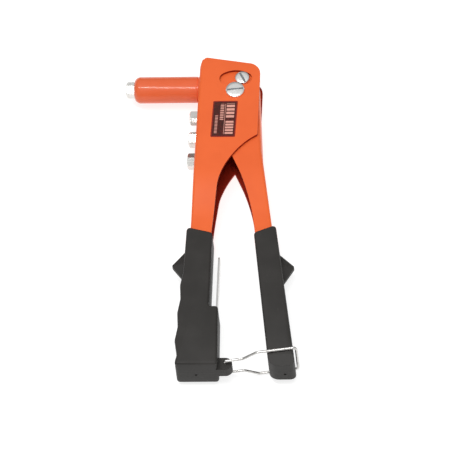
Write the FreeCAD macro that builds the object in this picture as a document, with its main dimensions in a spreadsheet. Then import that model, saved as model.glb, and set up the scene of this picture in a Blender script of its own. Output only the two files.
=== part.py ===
import FreeCAD, Part
import math
import os

import Sketcher

# Hand riveter for blind rivets, lying on its back: the nose points along -X, the head is at +Y,
# the fixed and the moving grip reach down to -Y, and the labelled side faces +Z.
# Coordinates in the sheet are measured from the handle's pivot axis and the mid-plane,
# and every sub-part is placed at that pivot.
# All lengths are in millimetres and all angles in degrees.
DIMENSIONS = {
    # where the pivot axis crosses the mid-plane, from the middle of the tool's footprint
    "pivot_at_x": 13.9,
    "pivot_at_y": 103.2,
    "mid_height": 16.0,
    # folded sheet steel frame
    "plate": 1.8,
    "head_half_depth": 13.7,
    "arm_half_depth": 7.5,
    "arm_taper_start": 68.0,
    "arm_taper_end": 112.0,
    "frame_back": 26.5,
    "frame_top": 29.6,
    "frame_top_left": 24.0,
    "frame_top_right": 22.5,
    "web_top": 21.5,
    "frame_front": 17.6,
    "frame_top_corner": 2.5,
    "frame_low_corner": 1.5,
    "frame_front_low": 38.8,
    "crotch_x": 8.3,
    "crotch_y": 55.0,
    "crotch_radius": 56.0,
    "arm_mouth_y": 118.0,
    "arm_back": 28.2,
    "arm_front": 12.9,
    "arm_end_y": 205.0,
    "arm_end_back": 27.5,
    "arm_end_front": 16.0,
    "head_corner_radius": 9.0,
    # pivot and pull pin
    "pivot_radius": 4.0,
    "bush_radius": 5.0,
    "pivot_head_radius": 6.7,
    "pivot_head_crown": 0.7,
    "pivot_slot_turn": 3.0,
    "pivot_head_height": 2.0,
    "pivot_nut_flats": 12.0,
    "pivot_nut_height": 2.3,
    "pull_arm": 12.4,
    "pull_angle": 68.0,
    "pull_radius": 3.0,
    "pull_head_radius": 4.8,
    "pull_head_crown": 0.6,
    "pull_slot_turn": -62.0,
    "pull_head_height": 3.0,
    "slot_half_width": 5.3,
    "slot_half_angle": 32.0,
    "driver_slot_width": 1.5,
    "driver_slot_depth": 0.9,
    "running_gap": 0.05,
    "free_gap": 0.3,
    # moving handle, folded from the same sheet and nested inside the frame
    "handle_half_depth": 11.4,
    "handle_arm_half_depth": 7.2,
    "handle_taper_start": 62.0,
    "handle_front_top": 5.0,
    "handle_lobe_top": 18.8,
    "handle_lobe_radius": 18.4,
    "handle_lobe_low": 2.5,
    "handle_lobe_corner": 8.0,
    "handle_lobe_front": 7.5,
    "handle_top_corner": 6.0,
    "handle_front_corner": 4.0,
    "handle_back_corner": 8.0,
    "handle_inset": 0.8,
    "handle_knee_x": 20.8,
    "handle_knee_y": 51.2,
    "handle_mouth_front": 31.2,
    "handle_mouth_back": 18.4,
    "handle_mouth_y": 120.0,
    "handle_end_front": 44.2,
    "handle_end_back": 33.4,
    "handle_end_y": 208.0,
    "handle_bend_x": 13.3,
    "handle_bend_y": 86.3,
    "handle_bend_radius": 150.0,
    "handle_back_x": 9.0,
    "handle_back_y": 36.0,
    # nose sleeve and what is in it, along the nose axis
    "nose_axis_y": 10.3,
    "sleeve_radius": 9.6,
    "sleeve_bore": 7.3,
    "sleeve_front": 74.5,
    "sleeve_front_wall": 6.5,
    "sleeve_front_round": 4.5,
    "stub_radius": 7.9,
    "stub_end": 19.5,
    "stub_bore": 6.0,
    "sleeve_nut_flats": 19.0,
    "sleeve_nut_width": 4.0,
    "rod_guide_flange": 1.0,
    "nosepiece_flats": 10.4,
    "nosepiece_head": 6.2,
    "nosepiece_thread": 3.5,
    "thread_gap": 0.02,
    "nosepiece_tail": 8.0,
    "fitted_bore": 1.15,
    "spare_bore_small": 0.85,
    "spare_bore_medium": 1.35,
    "spare_bore_large": 1.65,
    "spare_first_y": 15.0,
    "spare_pitch": 19.0,
    "spare_tail": 5.0,
    "spare_collar_radius": 5.2,
    "spare_collar_height": 2.2,
    # draw rod, jaws and their housing
    "housing_radius": 7.0,
    "housing_corner": 1.0,
    "housing_front": 59.5,
    "housing_back": 38.0,
    "cone_front": 58.5,
    "cone_length": 10.0,
    "cone_small": 3.9,
    "cone_large": 5.7,
    "jaw_front": 57.6,
    "jaw_back": 49.6,
    "jaw_gap": 0.08,
    "jaw_split": 0.25,
    "mandrel_groove": 1.0,
    "pusher_front": 49.4,
    "pusher_flange": 1.6,
    "pusher_radius": 5.2,
    "pusher_stem": 3.0,
    "pusher_back": 44.6,
    "mandrel_bore": 1.9,
    "jaw_spring_radius": 4.3,
    "jaw_spring_wire": 0.4,
    "jaw_spring_turns": 3.5,
    "rod_front": 43.0,
    "rod_thread": 5.6,
    "rod_radius": 4.5,
    "rod_counterbore": 3.4,
    "lock_nut_back": 34.8,
    "lock_nut_flats": 12.0,
    "return_spring_radius": 5.9,
    "return_spring_wire": 0.7,
    "return_spring_turns": 4.5,
    "eye_half_width": 5.0,
    "eye_below": 5.0,
    "eye_round": 5.0,
    "eye_corner": 1.5,
    "eye_above": 6.8,
    "eye_slot_half_width": 3.1,
    "eye_slot_play": 0.65,
    "eye_behind": 8.4,
    "eye_ahead": 6.6,
    # moulded grips
    "grip_mouth_half_depth": 9.2,
    "grip_half_depth": 12.5,
    "grip_full_y": 180.0,
    "grip_bottom": 236.0,
    "grip_round": 2.0,
    "grip_mouth_slant": 5.3,
    "grip_gap": 0.1,
    "grip_socket_rise": 10.0,
    "grip_left": 31.6,
    "grip_right": 12.0,
    "box_top": 186.0,
    "box_right": 4.6,
    "bump_pitch": 24.0,
    "bump_first_y": 167.5,
    "bump_height": 1.8,
    "bump_radius": 9.0,
    "bump_lean": 1.0,
    "fin_half_depth": 6.0,
    "fin_reach": 9.3,
    "fin_root": 3.0,
    "fin_tip_round": 1.5,
    "fin_middle_y": 145.0,
    "fin_half_length": 12.5,
    "moving_grip_half_depth": 12.0,
    "moving_grip_tilt": 8.6,
    "moving_grip_width": 16.6,
    "moving_grip_extra": 2.6,
    "moving_grip_mouth_x": 33.2,
    "moving_grip_mouth_y": 114.4,
    "moving_grip_slant": 6.8,
    "moving_grip_heel_radius": 5.0,
    # wire latch and the lug that holds it
    "lug_y": 230.8,
    "lug_x": 0.8,
    "lug_radius": 5.2,
    "lug_half_width": 4.0,
    "latch_reach": 51.6,
    "latch_angle": 8.0,
    "latch_wire": 1.0,
    "latch_narrow": 7.4,
    "latch_wide": 13.5,
    "latch_flare_start": 13.2,
    "latch_flare_end": 23.4,
    "latch_bend": 2.5,
    "latch_pin_length": 6.0,
    # open-ended spanner, stored in the fixed grip
    "spanner_x": 6.9,
    "spanner_half_thick": 0.6,
    "spanner_top": 138.3,
    "spanner_bottom": 220.0,
    "spanner_shank": 4.5,
    "spanner_head": 8.0,
    "spanner_end_round": 3.0,
    "spanner_shoulder_round": 2.0,
    "spanner_jaw_round": 1.5,
    "spanner_head_length": 17.0,
    "spanner_jaw": 5.3,
    "spanner_jaw_depth": 9.0,
    "spanner_pocket_end": 228.0,
    # printed label
    "label_left": 15.4,
    "label_width": 17.8,
    "label_top": 9.5,
    "label_height": 31.5,
    "label_lean": 1.0,
    "label_thickness": 0.2,
}

doc = FreeCAD.newDocument("hand_riveter")


def write_sheet():
    """Write the driving dimensions to the spreadsheet, one named cell each."""
    sheet = doc.addObject("Spreadsheet::Sheet", "dims")
    for row, (name, value) in enumerate(DIMENSIONS.items(), start=1):
        sheet.set(f"A{row}", name)
        sheet.set(f"B{row}", str(value))
        sheet.setAlias(f"B{row}", name)
    doc.recompute()
    return sheet


class Size:
    """A length or ratio worked out from the sheet: its value, and the expression that gives it."""

    def __init__(self, value, text):
        self.value = value
        self.text = text

    @staticmethod
    def of(other):
        return other if isinstance(other, Size) else Size(other, repr(other))

    def combined(self, other, sign, value):
        return Size(value, f"({self.text} {sign} {Size.of(other).text})")

    def __add__(self, other):
        return self.combined(other, "+", self.value + Size.of(other).value)

    def __sub__(self, other):
        return self.combined(other, "-", self.value - Size.of(other).value)

    def __mul__(self, other):
        return self.combined(other, "*", self.value * Size.of(other).value)

    def __truediv__(self, other):
        return self.combined(other, "/", self.value / Size.of(other).value)

    def __rmul__(self, other):
        return Size.of(other) * self

    def __neg__(self):
        return Size(-self.value, f"(-1 * {self.text})")

    def cos(self):
        return Size(math.cos(math.radians(self.value)), f"cos({self.text})")

    def sin(self):
        return Size(math.sin(math.radians(self.value)), f"sin({self.text})")

    def tan(self):
        return Size(math.tan(math.radians(self.value)), f"tan({self.text})")


class Dimensions:
    """Reads each named cell of the sheet as a Size."""

    def __init__(self, sheet):
        self.sheet = sheet

    def __getattr__(self, name):
        return Size(float(getattr(self.sheet, name)), f"dims.{name}")


d = Dimensions(write_sheet())
ZERO = Size(0.0, "0")


def place(obj, x=ZERO, y=ZERO, z=ZERO, turn_axis=None, turn=ZERO):
    """Place a sub-part at a point measured from the pivot, with an optional turn about an axis."""
    if turn_axis is not None:
        obj.Placement.Rotation.Axis = turn_axis
        obj.setExpression("Placement.Rotation.Angle", turn.text)
    obj.setExpression("Placement.Base.x", (d.pivot_at_x + x).text)
    obj.setExpression("Placement.Base.y", (d.pivot_at_y + y).text)
    obj.setExpression("Placement.Base.z", (d.mid_height + z).text)
    return obj


def new_body(name):
    body = doc.addObject("PartDesign::Body", name)
    body.Label = name
    return body


def new_sketch(body, name, role):
    """Add a sketch on one of the body's own origin planes."""
    plane = next(feature for feature in body.Origin.OriginFeatures if feature.Role == role)
    sketch = body.newObject("Sketcher::SketchObject", name)
    sketch.AttachmentSupport = [(plane, "")]
    sketch.MapMode = "FlatFace"
    return sketch


def bind(sketch, constraint, size):
    """Add a dimension to a sketch and bind it to the sheet."""
    index = sketch.addConstraint(constraint)
    sketch.setExpression(f"Constraints[{index}]", size.text)


def pin_point(sketch, geometry, point, x, y):
    """Dimension a point of a sketch from the sketch's origin."""
    bind(sketch, Sketcher.Constraint("DistanceX", -1, 1, geometry, point, x.value), x)
    bind(sketch, Sketcher.Constraint("DistanceY", -1, 1, geometry, point, y.value), y)


def rounded_corner(before, corner, after, radius):
    """Tangent points and centre of an arc that rounds a corner."""
    to_before = (before - corner).normalize()
    to_after = (after - corner).normalize()
    half = to_before.getAngle(to_after) / 2
    reach = radius / math.tan(half)
    middle = (to_before + to_after).normalize()
    centre = corner + middle * (radius / math.sin(half))
    return corner + to_before * reach, corner + to_after * reach, centre


def draw_outline(sketch, corners, closed=True):
    """Draw straight lines through corners, each given as (x, y) or as (x, y, radius of its round)."""
    count = len(corners)
    points = [FreeCAD.Vector(corner[0].value, corner[1].value, 0) for corner in corners]
    rounds = [corner[2] if len(corner) == 3 else None for corner in corners]
    starts = list(points)
    ends = list(points)
    centres = {}
    for index, radius in enumerate(rounds):
        if radius is not None:
            before = points[index - 1]
            after = points[(index + 1) % count]
            ends[index], starts[index], centres[index] = rounded_corner(
                before, points[index], after, radius.value)
    spans = count if closed else count - 1
    lines = []
    for index in range(spans):
        segment = Part.LineSegment(starts[index], ends[(index + 1) % count])
        lines.append(sketch.addGeometry(segment, False))
    for index, corner in enumerate(corners):
        if not closed and index == 0:
            pin_point(sketch, lines[0], 1, corner[0], corner[1])
            continue
        if not closed and index == count - 1:
            pin_point(sketch, lines[-1], 2, corner[0], corner[1])
            continue
        line_in = lines[index - 1]
        line_out = lines[index]
        if rounds[index] is None:
            sketch.addConstraint(Sketcher.Constraint("Coincident", line_in, 2, line_out, 1))
            pin_point(sketch, line_out, 1, corner[0], corner[1])
            continue
        vertex = sketch.addGeometry(Part.Point(points[index]), True)
        pin_point(sketch, vertex, 1, corner[0], corner[1])
        sketch.addConstraint(Sketcher.Constraint("PointOnObject", vertex, 1, line_in))
        sketch.addConstraint(Sketcher.Constraint("PointOnObject", vertex, 1, line_out))
        add_round(sketch, line_in, line_out, ends[index], starts[index], centres[index], rounds[index])
    return sketch


def add_round(sketch, line_in, line_out, start, end, centre, radius):
    """Join two lines of a sketch with a tangent arc of a given radius."""
    first = math.atan2(start.y - centre.y, start.x - centre.x)
    last = math.atan2(end.y - centre.y, end.x - centre.x)
    forward = (start - centre).cross(end - centre).z > 0
    circle = Part.Circle(centre, FreeCAD.Vector(0, 0, 1), radius.value)
    low, high = (first, last) if forward else (last, first)
    arc = sketch.addGeometry(Part.ArcOfCircle(circle, low, high), False)
    first_end, last_end = (1, 2) if forward else (2, 1)
    sketch.addConstraint(Sketcher.Constraint("Tangent", line_in, 2, arc, first_end))
    sketch.addConstraint(Sketcher.Constraint("Tangent", arc, last_end, line_out, 1))
    bind(sketch, Sketcher.Constraint("Radius", arc, radius.value), radius)


def draw_circle(sketch, x, y, radius):
    centre = FreeCAD.Vector(x.value, y.value, 0)
    circle = sketch.addGeometry(Part.Circle(centre, FreeCAD.Vector(0, 0, 1), radius.value), False)
    pin_point(sketch, circle, 3, x, y)
    bind(sketch, Sketcher.Constraint("Radius", circle, radius.value), radius)
    return circle


def pad(body, sketch, name, length):
    """Raise a sketch by the same amount on both sides of its plane."""
    feature = body.newObject("PartDesign::Pad", name)
    feature.Profile = sketch
    feature.SideType = "Symmetric"
    feature.setExpression("Length", length.text)
    sketch.Visibility = False
    return feature


def pocket_through(body, sketch, name):
    """Cut a sketch through the whole body, both ways from its plane."""
    feature = body.newObject("PartDesign::Pocket", name)
    feature.Profile = sketch
    feature.SideType = "Symmetric"
    feature.Type = "ThroughAll"
    return feature


def pocket_deep(body, sketch, name, length):
    """Cut a sketch by the same amount on both sides of its plane."""
    feature = body.newObject("PartDesign::Pocket", name)
    feature.Profile = sketch
    feature.SideType = "Symmetric"
    feature.setExpression("Length", length.text)
    return feature


def turned(name, profile, role="XY_Plane", axis="H_Axis"):
    """Make a turned piece: a closed half-section, given as corners, revolved about a sketch axis."""
    body = new_body(name)
    sketch = draw_outline(new_sketch(body, f"{name}_section", role), profile)
    feature = body.newObject("PartDesign::Revolution", f"{name}_turned")
    feature.Profile = sketch
    feature.ReferenceAxis = (sketch, [axis])
    feature.Angle = 360
    return body


def rectangle(left, right, low, high):
    return [(left, low), (right, low), (right, high), (left, high)]


def boolean(kind, name, base, tools):
    """Cut tools from a base, or keep what all of them share."""
    feature = doc.addObject(f"Part::{kind}", name)
    if kind == "Cut":
        feature.Base = base
        feature.Tool = tools[0]
    else:
        feature.Shapes = [base, *tools]
    feature.Label = name
    return feature


def hexagon(name, flats, start, length, turn):
    """A hexagonal bar along X, turned about its axis, to be shared with a turned blank."""
    bar = doc.addObject("Part::Prism", name)
    bar.Polygon = 6
    bar.setExpression("Circumradius", (flats / 2 / Size(math.cos(math.radians(30)), "cos(30)")).text)
    bar.setExpression("Height", length.text)
    spin = FreeCAD.Rotation(FreeCAD.Vector(0, 0, 1), turn)
    bar.Placement.Rotation = FreeCAD.Rotation(FreeCAD.Vector(0, 1, 0), 90) * spin
    bar.setExpression("Placement.Base.x", start.text)
    return bar


def taper_cuts(body, name, half_depth, arm_half_depth, taper_start, taper_end):
    """Cut both sides of a folded arm from its head's depth down to its grip's depth."""
    far = Size(400.0, "400")
    sides = {"front": 1.0, "rear": -1.0}
    for side, sign in sides.items():
        sketch = new_sketch(body, f"{name}_{side}_taper", "YZ_Plane")
        corners = [
            (-taper_start, half_depth * sign),
            (-taper_end, arm_half_depth * sign),
            (-far, arm_half_depth * sign),
            (-far, half_depth * sign * 3.0),
            (-taper_start, half_depth * sign * 3.0),
        ]
        pocket_through(body, draw_outline(sketch, corners), f"{name}_{side}_taper_cut")


def folded_channel(name, outer, inner, half_depth, arm_half_depth, taper_start, taper_end):
    """Fold a sheet channel: an outer envelope less an inner one, a plate's thickness inside it."""
    envelopes = []
    for part, corners, inset in (("outer", outer, ZERO), ("inner", inner, d.plate)):
        body = new_body(f"{name}_{part}")
        sketch = draw_outline(new_sketch(body, f"{name}_{part}_outline", "XY_Plane"), corners)
        pad(body, sketch, f"{name}_{part}_pad", (half_depth - inset) * 2.0)
        taper_cuts(body, f"{name}_{part}", half_depth - inset, arm_half_depth - inset,
                   taper_start, taper_end)
        envelopes.append(body)
    return boolean("Cut", f"{name}_folded", envelopes[0], [envelopes[1]])


def arc_slot(sketch, radius, half_width, half_angle):
    """Draw a slot that follows an arc about the sketch's origin, centred above it."""
    centre = FreeCAD.Vector(0, 0, 0)
    up = FreeCAD.Vector(0, 0, 1)
    low = math.radians(90 - half_angle.value)
    high = math.radians(90 + half_angle.value)
    outer = sketch.addGeometry(
        Part.ArcOfCircle(Part.Circle(centre, up, (radius + half_width).value), low, high), False)
    inner = sketch.addGeometry(
        Part.ArcOfCircle(Part.Circle(centre, up, (radius - half_width).value), low, high), False)
    for arc in (outer, inner):
        sketch.addConstraint(Sketcher.Constraint("Coincident", arc, 3, -1, 1))
    for sign, start, end in ((1.0, 1, 2), (-1.0, 2, 1)):
        x = radius * half_angle.sin() * sign
        y = radius * half_angle.cos()
        angle = math.atan2(y.value, x.value)
        middle = FreeCAD.Vector(x.value, y.value, 0)
        first = angle - math.pi if sign > 0 else angle
        cap = sketch.addGeometry(
            Part.ArcOfCircle(Part.Circle(middle, up, half_width.value), first, first + math.pi), False)
        bind(sketch, Sketcher.Constraint("DistanceX", -1, 1, cap, 3, x.value), x)
        if sign > 0:
            bind(sketch, Sketcher.Constraint("DistanceY", -1, 1, cap, 3, y.value), y)
        sketch.addConstraint(Sketcher.Constraint("Tangent", cap, end, outer, start))
        sketch.addConstraint(Sketcher.Constraint("Tangent", cap, start, inner, start))
    bind(sketch, Sketcher.Constraint("Radius", outer, (radius + half_width).value), radius + half_width)


def build_frame():
    """The frame: a channel folded along its nose side, with plates in front and behind."""
    outer = [
        (-d.frame_top_left, d.frame_top, d.frame_top_corner),
        (d.frame_front, d.frame_top_right, d.head_corner_radius),
        (d.frame_front, -d.frame_front_low, d.frame_low_corner),
        (-d.crotch_x, -d.crotch_y, d.crotch_radius),
        (-d.arm_front, -d.arm_mouth_y),
        (-d.arm_end_front, -d.arm_end_y),
        (-d.arm_end_back, -d.arm_end_y),
        (-d.arm_back, -d.arm_mouth_y),
        (-d.frame_back, d.web_top),
    ]
    past = Size(10.0, "10")
    inner = [
        (-(d.frame_top_left - d.plate), d.frame_top + past),
        (d.frame_front + past, d.frame_top + past),
        (d.frame_front + past, -(d.arm_end_y + past)),
        (-(d.arm_end_back - d.plate), -(d.arm_end_y + past)),
        (-(d.arm_back - d.plate), -d.arm_mouth_y),
        (-(d.frame_back - d.plate), d.web_top),
    ]
    channel = folded_channel("frame", outer, inner, d.head_half_depth, d.arm_half_depth,
                             d.arm_taper_start, d.arm_taper_end)
    plate_holes = new_body("frame_plate_holes")
    slot_sketch = new_sketch(plate_holes, "pull_slot", "XY_Plane")
    arc_slot(slot_sketch, d.pull_arm, d.slot_half_width, d.slot_half_angle)
    pad(plate_holes, slot_sketch, "pull_slot_tool", d.head_half_depth * 3.0)
    pivot_hole = doc.addObject("Part::Cylinder", "frame_pivot_hole")
    pivot_hole.setExpression("Radius", (d.pivot_radius + d.running_gap).text)
    pivot_hole.setExpression("Height", (d.head_half_depth * 3.0).text)
    pivot_hole.setExpression("Placement.Base.z", (d.head_half_depth * -1.5).text)
    sleeve_hole = web_hole("frame_sleeve_hole", d.stub_radius + d.running_gap, d.nose_axis_y)
    spare_holes = []
    collars = []
    for index in range(3):
        y = -(d.spare_first_y + d.spare_pitch * float(index))
        spare_holes.append(web_hole(f"frame_spare_hole_{index}", d.nosepiece_thread + d.running_gap, y))
        collar = doc.addObject("Part::Cylinder", f"frame_spare_collar_{index}")
        collar.setExpression("Radius", d.spare_collar_radius.text)
        collar.setExpression("Height", (d.spare_collar_height + d.plate / 2.0).text)
        collar.Placement.Rotation = FreeCAD.Rotation(FreeCAD.Vector(0, 1, 0), 90)
        collar.setExpression("Placement.Base.x", (-(d.frame_back - d.plate / 2.0) + web_lean(y)).text)
        collar.setExpression("Placement.Base.y", y.text)
        collars.append(collar)
    joined = boolean("MultiFuse", "frame_with_collars", channel, collars)
    tools = boolean("MultiFuse", "frame_holes", plate_holes, [pivot_hole, sleeve_hole, *spare_holes])
    return place(boolean("Cut", "frame", joined, [tools]))


def web_lean(y):
    """How far the frame's nose side has moved towards -X at a height below its top."""
    slope = (d.arm_back - d.frame_back) / (d.arm_mouth_y + d.web_top)
    return slope * (y - d.web_top)


def web_hole(name, radius, y):
    """A hole tool through the frame's nose side at a height y."""
    hole = doc.addObject("Part::Cylinder", name)
    hole.setExpression("Radius", radius.text)
    hole.Height = 20
    hole.Placement.Rotation = FreeCAD.Rotation(FreeCAD.Vector(0, 1, 0), 90)
    hole.setExpression("Placement.Base.x", (-(d.frame_back + 10.0)).text)
    hole.setExpression("Placement.Base.y", y.text)
    return hole


def pull_x():
    return d.pull_arm * d.pull_angle.cos()


def pull_y():
    return d.pull_arm * d.pull_angle.sin()


def build_moving_handle():
    """The moving handle: a channel nested in the frame, folded along its outer side."""
    outer = [
        (-d.handle_lobe_radius, d.handle_lobe_top, d.handle_lobe_radius * 0.99),
        (pull_x() + d.handle_lobe_front, d.handle_lobe_top, d.handle_top_corner),
        (d.frame_front - d.handle_inset, d.handle_front_top, d.handle_front_corner),
        (d.handle_knee_x, -d.handle_knee_y),
        (d.handle_mouth_front, -d.handle_mouth_y),
        (d.handle_end_front, -d.handle_end_y),
        (d.handle_end_back, -d.handle_end_y),
        (d.handle_mouth_back, -d.handle_mouth_y),
        (d.handle_bend_x, -d.handle_bend_y, d.handle_bend_radius),
        (-d.handle_back_x, -d.handle_back_y, d.handle_back_corner),
        (-d.handle_lobe_radius, -d.handle_lobe_low, d.handle_lobe_corner),
    ]
    past = Size(40.0, "40")
    inner = [
        (-past, d.frame_top),
        (d.frame_front - d.handle_inset - d.plate, d.frame_top),
        (d.frame_front - d.handle_inset - d.plate, d.handle_front_top),
        (d.handle_knee_x - d.plate, -d.handle_knee_y),
        (d.handle_mouth_front - d.plate, -d.handle_mouth_y),
        (d.handle_end_front - d.plate, -(d.handle_end_y + 1.0)),
        (-past, -(d.handle_end_y + 1.0)),
    ]
    channel = folded_channel("handle", outer, inner, d.handle_half_depth, d.handle_arm_half_depth,
                             d.handle_taper_start, d.arm_taper_end)
    holes = new_body("handle_holes")
    sketch = new_sketch(holes, "handle_hole_circles", "XY_Plane")
    draw_circle(sketch, ZERO, ZERO, d.bush_radius + d.running_gap)
    draw_circle(sketch, pull_x(), pull_y(), d.pull_radius + d.running_gap)
    pad(holes, sketch, "handle_hole_tool", d.head_half_depth * 3.0)
    return place(boolean("Cut", "moving_handle", channel, [holes]))


def slotted_head(body, head_top, radius, turn):
    """Cut a screwdriver slot across the top of a turned screw's head."""
    sketch = new_sketch(body, f"{body.Name}_slot", "XY_Plane")
    sketch.AttachmentOffset.Rotation.Axis = FreeCAD.Vector(0, 0, 1)
    sketch.setExpression("AttachmentOffset.Rotation.Angle", turn.text)
    sketch.setExpression("AttachmentOffset.Base.z", head_top.text)
    half = d.driver_slot_width / 2.0
    draw_outline(sketch, rectangle(-radius * 1.5, radius * 1.5, -half, half))
    pocket_deep(body, sketch, f"{body.Name}_slot_cut", d.driver_slot_depth * 2.0)


def build_pivot():
    """The screw, nut and bush that the moving handle turns on."""
    head_top = d.head_half_depth + d.pivot_head_height
    nut_low = -(d.head_half_depth + d.pivot_nut_height)
    crown = d.pivot_head_crown
    screw = turned("pivot_screw", [
        (ZERO, nut_low),
        (d.pivot_radius, nut_low),
        (d.pivot_radius, d.head_half_depth),
        (d.pivot_head_radius, d.head_half_depth),
        (d.pivot_head_radius, head_top - crown),
        (d.pivot_head_radius - crown, head_top),
        (ZERO, head_top),
    ], "XZ_Plane", "V_Axis")
    slotted_head(screw, head_top, d.pivot_head_radius, d.pivot_slot_turn)
    place(screw)
    bush = turned("pivot_bush", [
        (d.pivot_radius + d.running_gap, -(d.head_half_depth - d.plate)),
        (d.bush_radius, -(d.head_half_depth - d.plate)),
        (d.bush_radius, d.head_half_depth - d.plate),
        (d.pivot_radius + d.running_gap, d.head_half_depth - d.plate),
    ], "XZ_Plane", "V_Axis")
    place(bush)
    nut = flat_nut("pivot_nut", d.pivot_nut_flats, d.pivot_radius + d.thread_gap, nut_low, d.pivot_nut_height)
    place(nut)
    return [screw, bush, nut]


def flat_nut(name, flats, bore, low, height):
    """A hexagonal nut with its axis along Z."""
    blank = doc.addObject("Part::Prism", f"{name}_blank")
    blank.Polygon = 6
    blank.setExpression("Circumradius", (flats / 2 / Size(math.cos(math.radians(30)), "cos(30)")).text)
    blank.setExpression("Height", height.text)
    blank.setExpression("Placement.Base.z", low.text)
    hole = doc.addObject("Part::Cylinder", f"{name}_bore")
    hole.setExpression("Radius", bore.text)
    hole.setExpression("Height", (height * 3.0).text)
    hole.setExpression("Placement.Base.z", (low - height).text)
    return boolean("Cut", name, blank, [hole])


def build_pull_pin():
    """The screw that joins the handle to the draw rod, with its nut and two spacing collars."""
    side = d.handle_half_depth
    crown = d.pull_head_crown
    screw = turned("pull_screw", [
        (ZERO, -(side + d.pull_head_height - 0.6)),
        (d.pull_radius, -(side + d.pull_head_height - 0.6)),
        (d.pull_radius, side),
        (d.pull_head_radius, side),
        (d.pull_head_radius, side + d.pull_head_height - crown),
        (d.pull_head_radius - crown, side + d.pull_head_height),
        (ZERO, side + d.pull_head_height),
    ], "XZ_Plane", "V_Axis")
    slotted_head(screw, side + d.pull_head_height, d.pull_head_radius, d.pull_slot_turn)
    place(screw, pull_x(), pull_y())
    nut = flat_nut("pull_nut", d.pull_head_radius * 1.7, d.pull_radius + d.thread_gap,
                   -(side + d.pull_head_height - 0.6), d.pull_head_height - 0.6)
    place(nut, pull_x(), pull_y())
    gap = d.free_gap / 2.0
    length = side - d.plate - d.eye_half_width - gap * 2.0
    rings = []
    for end, low in (("front", d.eye_half_width + gap), ("rear", -(side - d.plate - gap))):
        ring = doc.addObject("Part::Cylinder", f"collar_{end}")
        ring.setExpression("Radius", d.pull_head_radius.text)
        ring.setExpression("Height", length.text)
        ring.setExpression("Placement.Base.z", low.text)
        rings.append(ring)
    shank = doc.addObject("Part::Cylinder", "collar_bore")
    shank.setExpression("Radius", (d.pull_radius + d.thread_gap).text)
    shank.setExpression("Height", (side * 2.0).text)
    shank.setExpression("Placement.Base.z", (-side).text)
    pair = boolean("MultiFuse", "collar_blanks", rings[0], rings[1:])
    collars = place(boolean("Cut", "pull_pin_collars", pair, [shank]), pull_x(), pull_y())
    return [screw, nut, collars]


def build_nose_sleeve():
    """The tubular nose with its threaded stub, the nut inside the frame and the rod's guide bush."""
    web = d.frame_back - web_lean(d.nose_axis_y)
    inside = web - d.plate
    front_wall = -(d.sleeve_front - d.sleeve_front_wall)
    shoulder = -(inside + 0.3)
    sleeve = turned("nose_sleeve", [
        (-d.sleeve_front, d.nosepiece_thread + d.thread_gap),
        (-d.sleeve_front, d.sleeve_radius, d.sleeve_front_round),
        (-web, d.sleeve_radius),
        (-web, d.stub_radius),
        (-d.stub_end, d.stub_radius),
        (-d.stub_end, d.stub_bore),
        (shoulder, d.stub_bore),
        (shoulder, d.sleeve_bore),
        (front_wall, d.sleeve_bore),
        (front_wall, d.nosepiece_thread + d.thread_gap),
    ])
    place(sleeve, y=d.nose_axis_y)
    start = -(inside - 0.1)
    corner = d.sleeve_nut_flats / 2.0 * 1.155
    blank = turned("sleeve_nut_blank", [
        (start, d.stub_radius + d.thread_gap),
        (start, corner),
        (start + d.sleeve_nut_width, corner * 0.95),
        (start + d.sleeve_nut_width, d.stub_radius + d.thread_gap),
    ])
    bar = hexagon("sleeve_nut_bar", d.sleeve_nut_flats, start - 1.0, d.sleeve_nut_width + 2.0, 0.0)
    nut = place(boolean("MultiCommon", "sleeve_nut", blank, [bar]), y=d.nose_axis_y)
    guide = turned("rod_guide_bush", [
        (shoulder - d.rod_guide_flange, d.rod_radius + d.running_gap),
        (shoulder - d.rod_guide_flange, d.sleeve_bore - 0.1),
        (shoulder, d.sleeve_bore - 0.1),
        (shoulder, d.stub_bore - d.thread_gap),
        (-d.stub_end, d.stub_bore - d.thread_gap),
        (-d.stub_end, d.rod_radius + d.running_gap),
    ])
    place(guide, y=d.nose_axis_y)
    return [sleeve, nut, guide]


def build_nosepiece(name, bore, tail, x, y, turn):
    """A nosepiece: a hexagonal head with a domed front, a threaded tail and a mandrel bore."""
    blank = turned(f"{name}_blank", [
        (-d.nosepiece_head, bore),
        (-d.nosepiece_head, d.nosepiece_flats / 2.0 * 0.82),
        (-(d.nosepiece_head - 1.2), d.nosepiece_flats / 2.0 * 1.16),
        (ZERO, d.nosepiece_flats / 2.0 * 1.16),
        (ZERO, d.nosepiece_thread),
        (tail, d.nosepiece_thread),
        (tail, bore),
    ])
    bar = hexagon(f"{name}_bar", d.nosepiece_flats, -(d.nosepiece_head + 1.0),
                  d.nosepiece_head + tail + 2.0, turn)
    return place(boolean("MultiCommon", name, blank, [bar]), x, y)


def build_nosepieces():
    """The fitted nosepiece and the three spares that are screwed into the frame's nose side."""
    pieces = [build_nosepiece("fitted_nosepiece", d.fitted_bore, d.nosepiece_tail,
                              -d.sleeve_front, d.nose_axis_y, 30.0)]
    bores = {"small": d.spare_bore_small, "medium": d.spare_bore_medium, "large": d.spare_bore_large}
    for index, (size, bore) in enumerate(bores.items()):
        y = -(d.spare_first_y + d.spare_pitch * float(index))
        seat = -d.frame_back + web_lean(y) - 0.15
        turn = 5.0 + 15.0 * index
        pieces.append(build_nosepiece(f"spare_nosepiece_{size}", bore, d.spare_tail, seat, y, turn))
    return pieces


def cone_radius(x):
    """Radius of the jaw housing's taper at a distance x ahead of the pivot."""
    slope = (d.cone_large - d.cone_small) / d.cone_length
    return d.cone_small + slope * (d.cone_front - x)


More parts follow.
